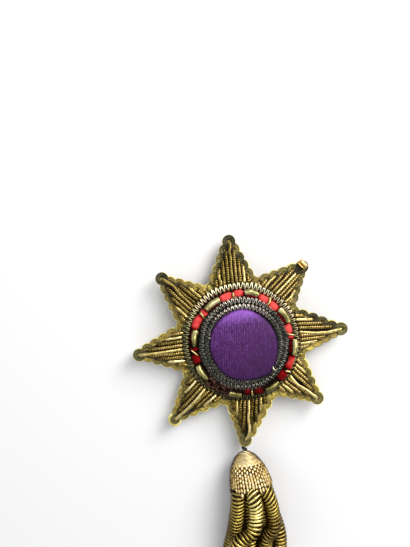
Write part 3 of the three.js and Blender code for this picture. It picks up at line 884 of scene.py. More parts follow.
# Painted highlights: on the left points the smooth lines are made brighter and the rough ones darker.
PAINTED_SHINE = {"west": 0.14, "south_west": 0.12, "north_west": 0.12}
SHINE_SHARE = {"smooth": 1.0, "rough": -0.5}
DULL_MIDDLES = {"north": 0.3, "north_west": 0.3, "west": 0.15, "east": 0.1, "south": -0.2}
DULL_TIP = 0.25
rng = np.random.default_rng(31)
for i, point in enumerate(POINTS):
    name = point["name"]
    lines = []
    for k in range(-4, 5):
        kind = KINDS[abs(k)]
        line = ray_line(i, k, rng)
        # The point's purl tone from the second table is painted light.
        tone = TONES[abs(k)] + POINT_TONES[i]["purl"] + rng.uniform(-UNLIKE, UNLIKE)
        tone = tone + PAINTED_SHINE.get(name, 0.0) * SHINE_SHARE[kind]
        if k == 0:
            tone = np.full(len(line), tone - DULL_MIDDLES.get(name, 0.0))
        else:
            tone = tone - DULL_TIP * np.clip(np.linspace(-2, 1, len(line)), 0, 1)
        lines.append(purl(line, RAY_RADIUS, kind, tone, look=0 if kind == "smooth" else 1))
    make_star_piece(f"purl_{name}", lines, [SMOOTH_PURL, ROUGH_PURL], "gold_purl", [f"rays_{name}"])

# %% [markdown]
# Between the lines and the last spangles of each side the cloth is covered with chips: short
# bits of rough purl sewn down anyhow. They are bars a few millimetres long at random angles,
# gathered near the notches. A texture could stand for them, but they catch the light singly.

# %% Chips near the notches
CHIPS = {"per_notch": 18, "spangles": (2.8, 5.3), "inward": (-0.01, 0.1), "reach": (0.6, 1.1),
         "ends": 2.3, "middle": 2.75, "radius": 0.34, "tones": (0.2, 0.65)}
rng = np.random.default_rng(41)
chips = []
for i in range(len(POINTS)):
    for n in range(CHIPS["per_notch"]):
        k = (-1 if n % 2 else 1) * rng.uniform(*CHIPS["spangles"])
        place = spangle_middle(i, k) * (1 - rng.uniform(*CHIPS["inward"]))
        lean = rng.uniform(0, np.pi)
        reach = np.array([np.cos(lean), np.sin(lean)]) * rng.uniform(*CHIPS["reach"])
        across = np.stack([place - reach, place, place + reach])
        arch = curve(lift(across, [CHIPS["ends"], CHIPS["middle"], CHIPS["ends"]]), 0.25)
        chips.append(purl(arch, CHIPS["radius"], "rough", rng.uniform(*CHIPS["tones"])))
make_star_piece("purl_chips", chips, [ROUGH_PURL], "gold_purl")

# %% [markdown]
# Three rings of wire coil run round the middle: a pale one outside the red silk and two dark
# ones inside it. Each is a pair of open springs of bright wire, laid in a circle and pressed
# flat. The two wind in opposite directions, so from above their turns meet in a zigzag. The line
# of such a spring is a helix bent round a circle with less height than width. The unevenness
# along it has to meet itself after a full turn, so it is made of whole waves.

# %% Springs laid in a ring
FLATTENED = 0.5
TURN_STEPS = 14
UNEVEN = {"slow": 0.8, "quick": 0.4, "size": 0.08}


def round_places(count, rng, bends):
    """Unevenness that closes on itself: waves round the ring with random starts, the quicker the
    smaller, from two to a ring up to the number of bends."""
    a = full_turn(count)
    waves = [np.sin(n * a + rng.uniform(0, 2 * np.pi)) / n ** 0.5 for n in range(2, bends)]
    return sum(waves) / 2.2


def facing(a, base, *lobes):
    """A tone for every direction a: the base, and for each lobe its amount times the power of the
    cosine of the angle between a and the lobe's own direction, where that cosine is positive."""
    tone = np.full(len(a), base)
    for degrees, power, amount in lobes:
        tone = tone + amount * np.clip(np.cos(a - np.radians(degrees)), 0, 1) ** power
    return tone


def spring(centre, radius, oval, coil, height, wire, pitch, hand, seed, lit):
    """A helix round an oval: the middle runs at radius, times oval up and down the badge, and the
    wire turns about it at the coil's own radius, phase = turns * angle, a little unevenly."""
    rng = np.random.default_rng(seed)
    turns = int(round(2 * np.pi * radius / pitch))
    count = turns * TURN_STEPS
    a = full_turn(count)
    drift = UNEVEN["slow"] * round_places(count, rng, 9) + UNEVEN["quick"] * round_places(count, rng, 60)
    phase = hand * (turns * a + drift)
    size = coil * (1 + UNEVEN["size"] * round_places(count, rng, 40))
    radial = np.stack([np.cos(a), np.sin(a), 0 * a], 1)
    out = np.cos(phase)[:, None] * radial + FLATTENED * np.sin(phase)[:, None] * UP
    line = lift(np.asarray(centre, float), height) + radius * radial * [1, oval, 1] + size[:, None] * out
    return bar(line, wire, UP, sides=8, closed=True, tone=facing(a, *lit))


print("steps to a turn of wire:", TURN_STEPS)

# %% [markdown]
# The wire is plated, and the plating has tarnished in patches: greenish, and pinkish where it has begun to
# wear off. Inside each pair of springs lies a flat core that closes the view to the cloth: brown felt in the
# pale ring, dark cord in the other two, both dark as painted shade between the turns. All three are painted
# brightest at the top of the badge, where the light falls, the pale one most of all.

# %% Rings of coiled wire
def bright_wire(name, rough, *colours):
    """Plated wire, tarnished in patches: metal with a cloud of dark over it and fine grain."""
    material, w = start_finish(name)
    cloud = noise(w, 0.35, 3.0, 0.6)
    grain = noise(w, 2.2, 2.0, 0.6)
    stops = [(place, rgb(*shown)) for place, shown in zip((0.2, 0.45, 0.6, 0.85), colours)]
    colour = (tone_of(w) * 0.9 + cloud * 0.5 + grain * 0.8 - 0.62).ramp(*stops)
    end_finish(w, grain, 0.03, Base_Color=colour, Metallic=1.0, Roughness=cloud * 0.3 + rough)
    return material


def dark_thread_and_shade():
    """Brown-black thread: the tassel's thread, and the cores inside the springs, where its near-black is
    painted shade between the turns.
    """
    material, w = start_finish("dark_thread_and_painted_shade")
    grain = noise(w, 4.0, 2.0, 0.6)
    colour = grain.ramp((0.3, rgb(8, 6, 4)), (0.7, rgb(34, 28, 18)))
    end_finish(w, grain, 0.1, Base_Color=colour, Roughness=0.7)
    return material


PALE_WIRE = bright_wire("pale_silver_gilt_wire", 0.18,
                        (70, 66, 40), (166, 162, 112), (206, 184, 152), (244, 238, 196))
DARK_WIRE = bright_wire("tarnished_silver_wire", 0.12,
                        (26, 28, 22), (112, 115, 103), (176, 160, 148), (240, 236, 222))
DARK_THREAD_AND_SHADE = dark_thread_and_shade()
CORE = {"wide": 1.05, "flat": 0.3, "below": 0.3}
# lit paints each ring's tone brighter towards the top of the badge, as the light falls.
INNER_LIT = (0.37, (90, 3, 0.45), (270, 2, 0.08))
RINGS = [
    {"name": "outer_wire", "node": "outer_coil", "slot": "pale_wire", "finishes": [PALE_WIRE, FELT_AND_GAP_SHADE],
     "centre": (0.0, -0.05), "radius": 20.65, "oval": 1.01, "coil": 1.55, "height": 3.1, "wire": 0.205,
     "pitch": 1.6, "lit": (0.36, (85, 2, 0.72), (262, 2, -0.16))},
    {"name": "middle_wire", "node": "middle_coil", "slot": "dark_wire", "finishes": [DARK_WIRE, DARK_THREAD_AND_SHADE],
     "centre": (0.9, -0.68), "radius": 15.65, "oval": 1.045, "coil": 1.2, "height": 5.0, "wire": 0.15,
     "pitch": 1.45, "lit": INNER_LIT},
    {"name": "inner_wire", "node": "inner_coil", "slot": "dark_wire", "finishes": [DARK_WIRE, DARK_THREAD_AND_SHADE],
     "centre": (0.9, -0.9), "radius": 13.55, "oval": 1.03, "coil": 1.08, "height": 5.5, "wire": 0.145,
     "pitch": 1.42, "lit": INNER_LIT},
]
SPRING_KEYS = ("centre", "radius", "oval", "coil", "height", "wire", "pitch", "lit")
for seed, ring in enumerate(RINGS, 51):
    sizes = {key: ring[key] for key in SPRING_KEYS}
    wires = [spring(**sizes, hand=hand, seed=seed) for hand in (1, -1)]
    turn = full_turn(90)
    round_it = ring["radius"] * np.stack([np.cos(turn), ring["oval"] * np.sin(turn)], 1)
    middle = lift(np.asarray(ring["centre"]) + round_it, ring["height"] - CORE["below"])
    core = bar(middle, ring["coil"] * CORE["wide"], UP, sides=10, flat=CORE["flat"], closed=True, look=1)
    make_star_piece(ring["name"], wires + [core], ring["finishes"], ring["slot"], [ring["node"]])

# %% [markdown]
# Between the coils runs a roll of red silk floss over a soft core. Eight gilt bars lie along it
# and seven stitches cross it, each where the hand has put it, and so the roll's own line isn't
# a true circle either. These tables give the directions, sizes and tones of all of them.

# %% Bars, stitches and the line of the roll
ROLL_CENTRE = np.array([0.6, -0.4])
BAR_COLUMNS = ("degrees", "half_arc", "radius", "bow", "right_size", "left_size",
               "right_tone", "middle_tone", "left_tone")
BAR_ROWS = [
    (128.3, 9.8, 18.4, 0.0, 1.0, 0.95, 0.7, 0.7, 0.5),
    (80.2, 8.0, 18.8, 0.45, 0.7, 0.85, 0.55, 0.5, 0.85),
    (34.0, 9.6, 18.4, 0.2, 0.85, 1.15, 0.5, 0.25, 0.9),
    (-4.3, 8.7, 19.0, 0.35, 0.65, 0.8, 0.35, 0.6, 0.75),
    (-56.0, 8.4, 19.2, 0.3, 0.8, 0.75, 0.05, 0.25, 0.3),
    (-98.9, 6.9, 19.0, 0.3, 0.8, 0.7, 0.5, 0.05, 0.45),
    (215.8, 9.6, 18.7, 0.1, 0.9, 0.6, 0.65, 0.5, 0.15),
    (174.4, 9.6, 18.0, 0.3, 1.0, 0.6, 0.7, 0.45, 0.1),
]
STITCH_COLUMNS = ("degrees", "slant", "from", "to", "size")
STITCH_ROWS = [
    (102.0, 0.0, 60, 165, 1.0),
    (57.8, -1.7, 12, 145, 1.0),
    (146.8, 4.0, 50, 165, 0.9),
    (191.5, 8.0, 55, 135, 0.6),
    (10.8, 4.5, 20, 150, 0.65),
    (-32.0, -2.0, 8, 110, 0.8),
    (-79.1, 0.6, 0, 110, 0.85),
]
BARS = [dict(zip(BAR_COLUMNS, row)) for row in BAR_ROWS]
STITCHES = [dict(zip(STITCH_COLUMNS, row)) for row in STITCH_ROWS]
SET_OUT = np.array([  # direction in degrees, distance of the roll from the ring's middle
    (4.6, 17.9), (19.8, 17.4), (50.7, 17.5), (65.6, 17.9), (93.8, 18.4), (111.8, 18.0), (141, 18.2),
    (157, 18.8), (198.8, 18.3), (240, 18.2), (272.8, 17.8), (290.3, 18.6), (317, 18.9), (339.3, 19.0)])


def roll_reach(degrees):
    """How far the hand-laid roll lies from the middle of the ring in a direction."""
    return np.interp(degrees, *SET_OUT.T, period=360)


def ring_place(radius, degrees, height):
    """A place about the middle of the red ring: distance, direction and height."""
    return lift(ROLL_CENTRE + polar(radius, np.asarray(degrees, float)), height)


print("bars:", len(BARS), "stitches:", len(STITCHES))

# %% [markdown]
# The silk swells between the bars and the stitches and is drawn in where they cross it, so the roll's radius
# dips at each of their directions. The floss is wound round it, which gives fine lines across the roll. Its
# tone is painted light: bright at the top and deep at the bottom of the badge, as the light falls, and
# painted darker in the dips and under the bars, as shade. A few marks finish it: the place where it is worn
# through at the lower left, a dull place at the bottom, and a flatter and brighter one at the lower right.

# %% Red silk roll
ROLL = {"thick": 1.38, "height": 4.5, "steps": 480, "sides": 16, "pinch": 2.2918}
DRAWN_IN = {"at_crossings": 0.3, "under_bars": 0.12, "uneven": 0.11}
SILK_TONE = {"middle": 0.58, "uneven": 0.08, "top_to_bottom": 0.27, "turned": 10, "shaded": 0.4}
MARK_COLUMNS = ("degrees", "width", "power", "tone", "radius")
MARK_ROWS = [
    (243, 18, 4, -0.9, 0.0),
    (273, 6, 2, -0.16, 0.0),
    (337, 5, 2, 0.24, 0.0),
    (338, 7, 2, 0.0, -0.2),
]


def red_silk():
    """Crimson silk floss: fine threads across the roll, bright where full and painted dark in the dips, as
    shade.
    """
    material, w = start_finish("crimson_silk_floss")
    floss = (laid(w, 0) * 26.0 + laid(w, 1) * (2 * np.pi) + noise(w, 1.2) * 3.0).sine() * 0.5 + 0.5
    worn = noise(w, 0.5, 3.0, 0.6)
    colour = (tone_of(w) + floss * 0.14 + worn * 0.5 - 0.32).ramp(
        (0.05, rgb(22, 6, 4)), (0.2, rgb(64, 0, 2)), (0.5, rgb(146, 8, 14)), (0.85, rgb(226, 80, 76)))
    end_finish(w, floss, 0.05, Base_Color=colour, Roughness=0.6, Specular_IOR_Level=0.04)
    return material


roll_at = full_turn(ROLL["steps"])


def off_from(degrees):
    """How far every station of the roll is from a direction, in degrees from -180 to 180."""
    return (np.degrees(roll_at) - degrees + 180) % 360 - 180


crossings = [stitch["degrees"] for stitch in STITCHES]
crossings += [row["degrees"] + side * row["half_arc"] for row in BARS for side in (-1, 1)]
dips = np.max([np.exp(-(off_from(degrees) / ROLL["pinch"]) ** 2) for degrees in crossings], 0)
past_ends = [np.abs(off_from(row["degrees"])) - row["half_arc"] for row in BARS]
under = np.max(1 / (1 + np.exp(2 * np.array(past_ends))), 0)
rng = np.random.default_rng(61)
roll_radius = 1 - DRAWN_IN["at_crossings"] * dips - DRAWN_IN["under_bars"] * under
roll_radius = ROLL["thick"] * (roll_radius + DRAWN_IN["uneven"] * round_places(len(roll_at), rng, 34))
# Painted light: brighter at the top of the badge and darker at the bottom, then painted shade in the dips and
# under the bars.
upward = np.sin(roll_at + np.radians(SILK_TONE["turned"]))
roll_tone = SILK_TONE["middle"] + SILK_TONE["uneven"] * round_places(len(roll_at), rng, 50)
roll_tone = roll_tone + SILK_TONE["top_to_bottom"] * np.tanh(3 * upward)
roll_tone = roll_tone - SILK_TONE["shaded"] * (dips + under)
for row in MARK_ROWS:
    mark = dict(zip(MARK_COLUMNS, row))
    spot = np.exp(-np.abs(off_from(mark["degrees"]) / mark["width"]) ** mark["power"])
    roll_tone = roll_tone + mark["tone"] * spot
    roll_radius = roll_radius + mark["radius"] * spot
roll_line = ring_place(roll_reach(np.degrees(roll_at)), np.degrees(roll_at), ROLL["height"])
floss_roll = bar(roll_line, roll_radius, UP, ROLL["sides"], closed=True, tone=roll_tone)
roll = make_star_piece("red_silk_roll", [floss_roll], [red_silk()], "red_silk", ["red_roll"])

# %% [markdown]
# The bars are springs of such fine gilt wire that they look like tubes: pale, greenish and
# softly shining, with an open end at both sides. Each follows its arc of the ring, most of them
# a little bowed and all with one end thicker than the other. The end rings step back inward,
# which makes the small dark mouth.

# %% Gilt bars
BAR_RUN = {"thick": 1.1, "middle": 1.05, "height": 6.4, "steps": 25, "mouth": 0.5, "uneven": 0.12}
MOUTH_SIZE = [0.55, 0.6, 0.92]
PALE_BAR = gilt_wire("pale_smooth_purl", 0.36, 0.04, 0.2, (84, 78, 40), (176, 166, 108), (248, 240, 194))
rng = np.random.default_rng(71)
for n, row in enumerate(BARS):
    share = np.linspace(-1, 1, BAR_RUN["steps"])
    distance = row["radius"] + row["bow"] * (0.5 - share ** 2) + BAR_RUN["uneven"] * waver(len(share), rng, 3)
    height = BAR_RUN["height"] + BAR_RUN["uneven"] * waver(len(share), rng, 3)
    line = ring_place(distance, row["degrees"] + share * row["half_arc"], height)
    along = run_of(line)[1]
    mouth = [line[:1] + along[:1] * BAR_RUN["mouth"], line[:1]]
    back = [line[-1:], line[-1:] - along[-1:] * BAR_RUN["mouth"]]
    line = np.concatenate(mouth + [line] + back)
    along = np.concatenate([along[:1]] * 2 + [along] + [along[-1:]] * 2)
    share = np.linspace(-1, 1, len(line))
    sizes = [row["right_size"], BAR_RUN["middle"], row["left_size"]]
    radius = BAR_RUN["thick"] * np.interp(share, [-1, 0, 1], sizes)
    radius[:3] = radius[:3] * MOUTH_SIZE
    radius[-3:] = radius[-3:] * MOUTH_SIZE[::-1]
    tone = np.interp(share, [-1, 0, 1], [row[key] for key in ("right_tone", "middle_tone", "left_tone")])
    tube = bar(line, radius, UP, 12, tone=tone, along=along)
    make_star_piece(f"gilt_bar_{n + 1}", [tube], [PALE_BAR], "gilt_bar", [f"bar_{n + 1}"])

# %% [markdown]
# The stitches are short arches of thin purl over the roll, from its outer side to its inner
# side. They lie a little aslant and get thinner and darker as they go in. Their random numbers
# go on from the bars', so the two cells belong together.

# %% Stitches over the roll
STITCH_RUN = {"thick": 0.46, "over": 1.72, "steps": 9, "tip": 0.4, "sizes": (1.15, 0.75),
              "tones": (0.85, 0.45), "unlike": 0.1}
STITCH_WIRE = gilt_wire("stitch_purl", 0.5, 0.05, 0.18, (120, 96, 44), (200, 176, 108), (244, 232, 186))
for n, row in enumerate(STITCHES):
    lean = np.radians(np.linspace(row["from"], row["to"], STITCH_RUN["steps"]))
    degrees = row["degrees"] + row["slant"] * np.linspace(-0.5, 0.5, len(lean)) + waver(len(lean), rng, 2)
    distance = roll_reach(row["degrees"]) + STITCH_RUN["over"] * np.cos(lean)
    line = curve(ring_place(distance, degrees, ROLL["height"] + STITCH_RUN["over"] * np.sin(lean)), 0.25)
    radius = tapered(line, STITCH_RUN["thick"] * row["size"], STITCH_RUN["tip"])
    radius = radius * np.linspace(*STITCH_RUN["sizes"], len(line))
    tone = np.linspace(*STITCH_RUN["tones"], len(line))
    tone = tone + rng.uniform(-STITCH_RUN["unlike"], STITCH_RUN["unlike"])
    stitch = bar(line, radius, UP + [0.3, 0.2, 0], 8, tone=tone)
    make_star_piece(f"gilt_stitch_{n + 1}", [stitch], [STITCH_WIRE], "gilt_bar", [f"tie_{n + 1}"])

# %% [markdown]
# At the lower left the silk has worn through. The gap is full of short brown ends of purl and
# thread that lie anyhow, so this is the chips' recipe again, darker, thinner and further in.

# %% Worn stretch of the ring
WORN = {"count": 46, "degrees": (225.0, 257.0), "distances": (16.9, 20.6), "heights": (5.4, 6.1),
        "middle": 18.2, "fall": 0.5, "tilt": 0.3, "reach": (0.6, 1.2), "droop": 0.4, "radius": 0.3,
        "tones": (0.25, 0.7)}
WORN_BROWN = gilt_wire("worn_brown_purl", 0.5, 0.05, 0.4,
                       (26, 12, 8), (70, 36, 24), (136, 100, 62), metal=0.6)
rng = np.random.default_rng(75)
ends = []
for n in range(WORN["count"]):
    place = ring_place(rng.uniform(*WORN["distances"]), rng.uniform(*WORN["degrees"]), 0.0)
    lean = rng.uniform(0, np.pi)
    reach = np.array([np.cos(lean), np.sin(lean), rng.uniform(-WORN["tilt"], WORN["tilt"])])
    reach = reach * rng.uniform(*WORN["reach"])
    fall = WORN["fall"] * abs(np.linalg.norm(place[:2]) - WORN["middle"])
    place[2] = rng.uniform(*WORN["heights"]) - fall
    droop = UP * WORN["droop"]
    line = curve(np.stack([place - reach - droop, place, place + reach - droop]), 0.3)
    ends.append(purl(line, WORN["radius"], "rough", rng.uniform(*WORN["tones"])))
make_star_piece("worn_ends", ends, [WORN_BROWN], "gold_purl")

# %% [markdown]
# The button is a mould covered in purple silk. The silk has a ribbed weave that runs up and down
# the badge, with a cross weave and slubs, which are thicker stretches of thread. The slubs are
# noise drawn out along the ribs by a Mapping node. Silk is a soft shine rather than a gloss, so
# the finish is rough with a little sheen.

# %% Purple silk
def purple_silk():
    """Violet silk with upright ribs, a cross weave and slubs; the ribs are bump and tone."""
    material, w = start_finish("purple_ribbed_silk")
    sway = noise(w, 0.25) * 1.4
    drawn_out = w.node("ShaderNodeMapping", {}, {"Vector": place_of(w), "Scale": (3.0, 0.35, 1.0)})
    slub = noise(w, 1.0, 3.0, 0.6, place=drawn_out)
    ribs = (share_of(w, place_of(w), 0) * 7.2 + sway).sine() * 0.5 + 0.5
    picks = (share_of(w, place_of(w), 1) * 16.0 + sway).sine() * 0.5 + 0.5
    mottle = noise(w, 2.0, 3.0, 0.7)
    colour = (tone_of(w) * 0.8 + ribs * 0.09 + slub * 0.5 + mottle * 0.7 + picks * 0.04 - 0.6).ramp(
        (0.1, rgb(22, 5, 30)), (0.45, rgb(64, 24, 78)), (0.85, rgb(134, 82, 174)))
    relief = ribs * 0.3 + picks * 0.25 + slub * 0.4 + mottle * 0.8
    end_finish(w, relief, 0.1, Base_Color=colour, Roughness=0.6, Specular_IOR_Level=0.16,
               Sheen_Weight=0.05, Sheen_Roughness=0.35)
    return material


VIOLET = purple_silk()

# %% [markdown]
# The dome is a profile turned about the middle. Its tone is painted light: the silk is brighter towards the
# top and a little to the left, with a painted highlight along its upper edge, where the light falls, and it
# is painted nearly black at the rim as shade, where it turns under in small puckers. Its outline isn't a true
# circle: it bulges to a blunt corner at the lower right, so the radius is changed by the direction, more and
# more towards the edge. A tiny knot in the thread stands up near the top.

# %% Purple silk button
BUTTON_CENTRE = np.array([0.87, -1.05])
BUTTON_PROFILE = np.array([
    (10.4, 4.5), (11.7, 5.0), (12.4, 5.6), (12.52, 6.2), (12.2, 6.8), (11.8, 7.08), (11.1, 7.42),
    (9.6, 7.9), (7.6, 8.25), (5.2, 8.48), (2.8, 8.6), (0.6, 8.64)])
BUTTON_BULGE = np.array([
    (0, 1.01), (30, 0.985), (60, 0.98), (90, 1.03), (120, 1.015), (155, 1.04), (185, 1.02), (210, 1.0),
    (240, 1.03), (280, 1.02), (298, 1.06), (312, 1.135), (322, 1.105), (335, 1.06), (350, 1.02)])
BUTTON = {"sides": 144, "tall": 1.028, "bulge_from": 9.0, "edge": 12.35, "puckers": 31, "pucker": 0.07,
          "uneven": 2.5}
DOME_TONE = {"middle": 0.43, "uphill": 0.1, "uphill_at": 98, "across": 0.05, "lit_edge": 0.46,
             "lit_from": 0.62, "rim": 0.25, "rim_heights": (7.0, 6.5)}
SOFTEN = {-2: 0.1, -1: 0.25, 0: 0.3, 1: 0.25, 2: 0.1}
KNOT_IN_SILK = [(0.55, 7.35, 8.0), (0.8, 7.5, 8.2), (1.0, 7.45, 8.0)]
KNOT_RADIUS = 0.2
rng = np.random.default_rng(81)
a = full_turn(BUTTON["sides"])
bulge = np.interp(np.degrees(a), *BUTTON_BULGE.T, period=360)
bulge = sum(share * np.roll(bulge, n) for n, share in SOFTEN.items())
pucker = np.sin(a * BUTTON["puckers"] + BUTTON["uneven"] * round_places(BUTTON["sides"], rng, 6))
radius, height = BUTTON_PROFILE.T[:, :, None]
edge = np.maximum(0.0, (radius - BUTTON["bulge_from"]) / (BUTTON["edge"] - BUTTON["bulge_from"])) ** 2
size = radius * (1 + (bulge - 1) * edge) + BUTTON["pucker"] * edge * pucker
spots = BUTTON_CENTRE + size[..., None] * np.stack([np.cos(a), BUTTON["tall"] * np.sin(a)], 1)
dome = lift(spots, np.broadcast_to(height, size.shape))
# Painted light: the tone rises uphill towards the top and a little to the left, a painted highlight lies
# along the upper edge, and painted shade darkens the rim.
uphill = radius / BUTTON["edge"] * np.cos(a - np.radians(DOME_TONE["uphill_at"]))
tone = DOME_TONE["middle"] + DOME_TONE["uphill"] * uphill
tone = tone - DOME_TONE["across"] * np.cos(a) * radius / BUTTON["edge"]
near_top = np.clip((uphill - DOME_TONE["lit_from"]) / (1 - DOME_TONE["lit_from"]), 0, 1)
turned_under = sum((height < low) * 1.0 for low in DOME_TONE["rim_heights"])
tone = tone + DOME_TONE["lit_edge"] * near_top - DOME_TONE["rim"] * turned_under
silk = grid(dome, wrap=True, poles=True, tone=np.clip(tone, 0, 1))
knot_in_silk = bar(curve(KNOT_IN_SILK, 0.1), KNOT_RADIUS, UP, 8, tone=1.0)
button = make_star_piece("purple_button", [silk, knot_in_silk], [VIOLET], "purple_silk", ["button"])

# %% [markdown]
# Two turns of the inner coil have sprung loose and stand up as small bright hooks, one at the lower right of
# the button and one at its left. Their brightness is partly the pale wire's own and partly a painted glint,
# since they are given nearly its palest tone. A short bar along a bent line is enough.

# %% Sprung wire ends
HOOKS = [
    [(11.2, -8.5, 5.6), (11.4, -8.9, 6.9), (11.9, -9.9, 7.3), (12.6, -10.2, 7.0), (13.0, -9.8, 5.9)],
    [(-12.4, 1.3, 5.5), (-12.2, 1.5, 6.5), (-11.7, 1.6, 6.9), (-11.5, 1.2, 6.5)],
]
HOOK_WIRE = 0.17
# Their tone of 0.95 paints them as glints on the pale wire.
hooks = [bar(curve(places, 0.15), HOOK_WIRE, UP + [0.2, 0.1, 0], 7, tone=0.95) for places in HOOKS]
make_star_piece("sprung_wire", hooks, [PALE_WIRE], "dark_wire")

# %% [markdown]
# At the north-east tip the last spangle is gone and a bit of bright gilt plate is folded over
# the end instead. Its near edge is turned back as a narrow hem with a groove behind it, and the
# rest swells like a blister. It is a grid whose height is one table across the bend times a
# softer curve along it, thickened to a closed plate.

# %% Folded plate
FOLD = {"length": 3.7, "thick": 0.3, "turn": 135.0, "out": 0.75, "aside": 0.55, "above": 0.4,
        "narrower": 0.2, "falling": 0.15}
FOLD_SECTION = np.array([  # across the bend, height, tone
    (-1.35, 0.35, 0.5), (-1.15, 0.75, 0.75), (-0.95, 0.7, 0.5), (-0.75, 0.1, 0.0), (-0.4, 0.55, 0.3),
    (0.0, 0.95, 0.65), (0.45, 1.05, 0.75), (0.85, 0.75, 0.85), (1.15, 0.1, 0.5)])


def bright_gilt():
    """Polished gilt plate: pale on the raised parts and brown in the groove, as its tone gives, with a few
    small dents.
    """
    material, w = start_finish("bright_gilt_plate")
    dents = noise(w, 0.9, 2.0, 0.5)
    colour = (tone_of(w) * 0.8 + dents * 0.3 - 0.05).ramp(
        (0.1, rgb(84, 58, 20)), (0.45, rgb(200, 158, 78)), (0.9, rgb(240, 216, 146)))
    end_finish(w, dents, 0.16, Base_Color=colour, Metallic=0.85, Roughness=0.42)
    return material


across_bend, bend_height, bend_tone = FOLD_SECTION.T
share = np.linspace(-1, 1, 15)[:, None]
x = share * FOLD["length"] / 2 + 0 * across_bend
y = across_bend * (1 - FOLD["narrower"] * share ** 2)
z = EDGE_TOP + FOLD["above"] + bend_height * (1 - share ** 4) * (1 - FOLD["falling"] * share)
lengthways = polar(1.0, FOLD["turn"])
crossways = np.array([lengthways[1], -lengthways[0]])
middle = TIPS[1] + AXES[1] * FOLD["out"] + LEFTWARD[1] * FOLD["aside"]
top = lift(middle + x[..., None] * lengthways + y[..., None] * crossways, z + FOLD["thick"])
low = top - [0, 0, FOLD["thick"]]
sheet = np.concatenate([low[:, ::-1], top], 1)
sheet_tone = np.concatenate([bend_tone[::-1], bend_tone]) * np.ones((len(share), 1))
fold = grid(sheet[::-1], wrap=True, poles=True, tone=sheet_tone)
make_star_piece("folded_gilt_plate", [fold], [bright_gilt()], "gilt", ["tip_fold"])

# %% [markdown]
# The tassel hangs by a short dark thread of two plies, which comes out under the lowest spangle
# and goes into the top of the head. Two thin bars wind about each other along the thread's
# line; the small knot is a bar that winds twice round it. The same winding makes the strands of
# the skirt further down, so it can lean, sag and change its size along the way.

# %% Thread of the tassel
THREAD_ROUTE = [(0.7, -39.7, 4.9), (0.8, -40.45, 6.0), (1.2, -40.0, 7.2),
                (1.75, -40.1, 8.0), (2.05, -40.9, 7.6)]
KNOT_ROUTE = [(0.9, -40.4, 6.1), (1.3, -40.05, 7.1)]
PLY = {"size": 0.24, "wire": 0.25, "pitch": 1.3}
KNOT = {"size": 0.42, "wire": 0.22, "pitch": 0.36, "per_turn": 14}
WIRE_TIP = 0.6


def wound(line, size, wire, pitch, toward, per_turn=12, start=0.0, lean=0.0, bow=0.0,
          tone=0.5, sides=8, flank_shade=0.0):
    """A wire wound round a line at a distance size: line + size * (cos p * out + sin p * side), with p
    growing by a full turn each pitch. lean and bow shear the turns along the line, by lean * sin p and bow *
    cos p times the size, so that they slant or sag. The flanks of the turns are painted darker than their
    tops, by the flank shade amount times |sin p|^3, as shade where the wire turns away from the light."""
    run, along = run_of(line)
    at = np.linspace(0, run[-1], int(run[-1] / pitch * per_turn) + 1)
    size, wire, lean, bow, tone = (
        np.interp(at, run, np.broadcast_to(given, run.shape)) for given in (size, wire, lean, bow, tone))
    spot = np.stack([np.interp(at, run, line[:, n]) for n in range(3)], 1)
    ahead = unit(np.stack([np.interp(at, run, along[:, n]) for n in range(3)], 1))
    out = unit(toward - (ahead @ toward)[:, None] * ahead)
    side = np.cross(ahead, out)
    phase = 2 * np.pi * at / pitch + start
    about = np.cos(phase)[:, None] * out + np.sin(phase)[:, None] * side
    shear = size * (lean * np.sin(phase) + bow * np.cos(phase))
    path = spot + size[:, None] * about + shear[:, None] * ahead
    wire = wire * np.clip(np.minimum(at, at[-1] - at) / WIRE_TIP + 0.1, 0, 1)
    return bar(path, wire, about, sides, tone=tone - flank_shade * np.abs(np.sin(phase)) ** 3)


route = curve(THREAD_ROUTE, 0.2)
plies = [wound(route, **PLY, toward=SIDEWAYS, start=half) for half in (0.0, np.pi)]
knot = wound(curve(KNOT_ROUTE, 0.1), **KNOT, toward=SIDEWAYS)
make_piece("tassel_thread", plies + [knot], [DARK_THREAD_AND_SHADE], "dark_thread", ["hanger_thread"])

# %% [markdown]
# The tassel's head is a turned mould wrapped in gold thread and covered with a needle-made net,
# which ends in points between the strands. Both lie on one profile, the same as the solid's, with
# a slight lean to the left. A place on the head is then given by two numbers, how far along and
# at which angle, and the net's edge is only a shift of the first one.

# %% Places on the tassel's head
APEX = np.array([2.0, -40.83, 6.9])
BASE = np.array([4.97, -60.12, 9.2])
HEAD_LENGTH = np.linalg.norm(BASE - APEX)
HEAD_DOWN = (BASE - APEX) / HEAD_LENGTH
HEAD_ACROSS = unit(np.cross(UP, HEAD_DOWN))
HEAD_UP = np.cross(HEAD_DOWN, HEAD_ACROSS)
HEAD_ALONG = [0.0, 0.6, 1.8, 3.6, 6.5, 10.0, 15.2, 22.0]
HEAD_RADIUS = [0.7, 2.2, 3.85, 5.25, 6.5, 7.4, 8.3, 9.0]
HEAD_LEAN = [-0.9, -0.88, -0.84, -0.78, -0.62, -0.4, -0.1, 0.0]
NET_LENGTH = 15.2
SCALLOP = {"count": 6, "rise": 3.0, "from": 8.0, "least": 0.2}


def head_place(along, angle, proud=0.0):
    """A place on the head: along its axis, at an angle about it from the right-hand side, 90
    degrees being the top, and proud of the profile's radius."""
    radius = np.interp(along, HEAD_ALONG, HEAD_RADIUS) + proud
    about = np.cos(angle)[..., None] * HEAD_ACROSS + np.sin(angle)[..., None] * HEAD_UP
    aside = np.interp(along, HEAD_ALONG, HEAD_LEAN)[..., None] * HEAD_ACROSS
    return APEX + np.asarray(along)[..., None] * HEAD_DOWN + aside + radius[..., None] * about


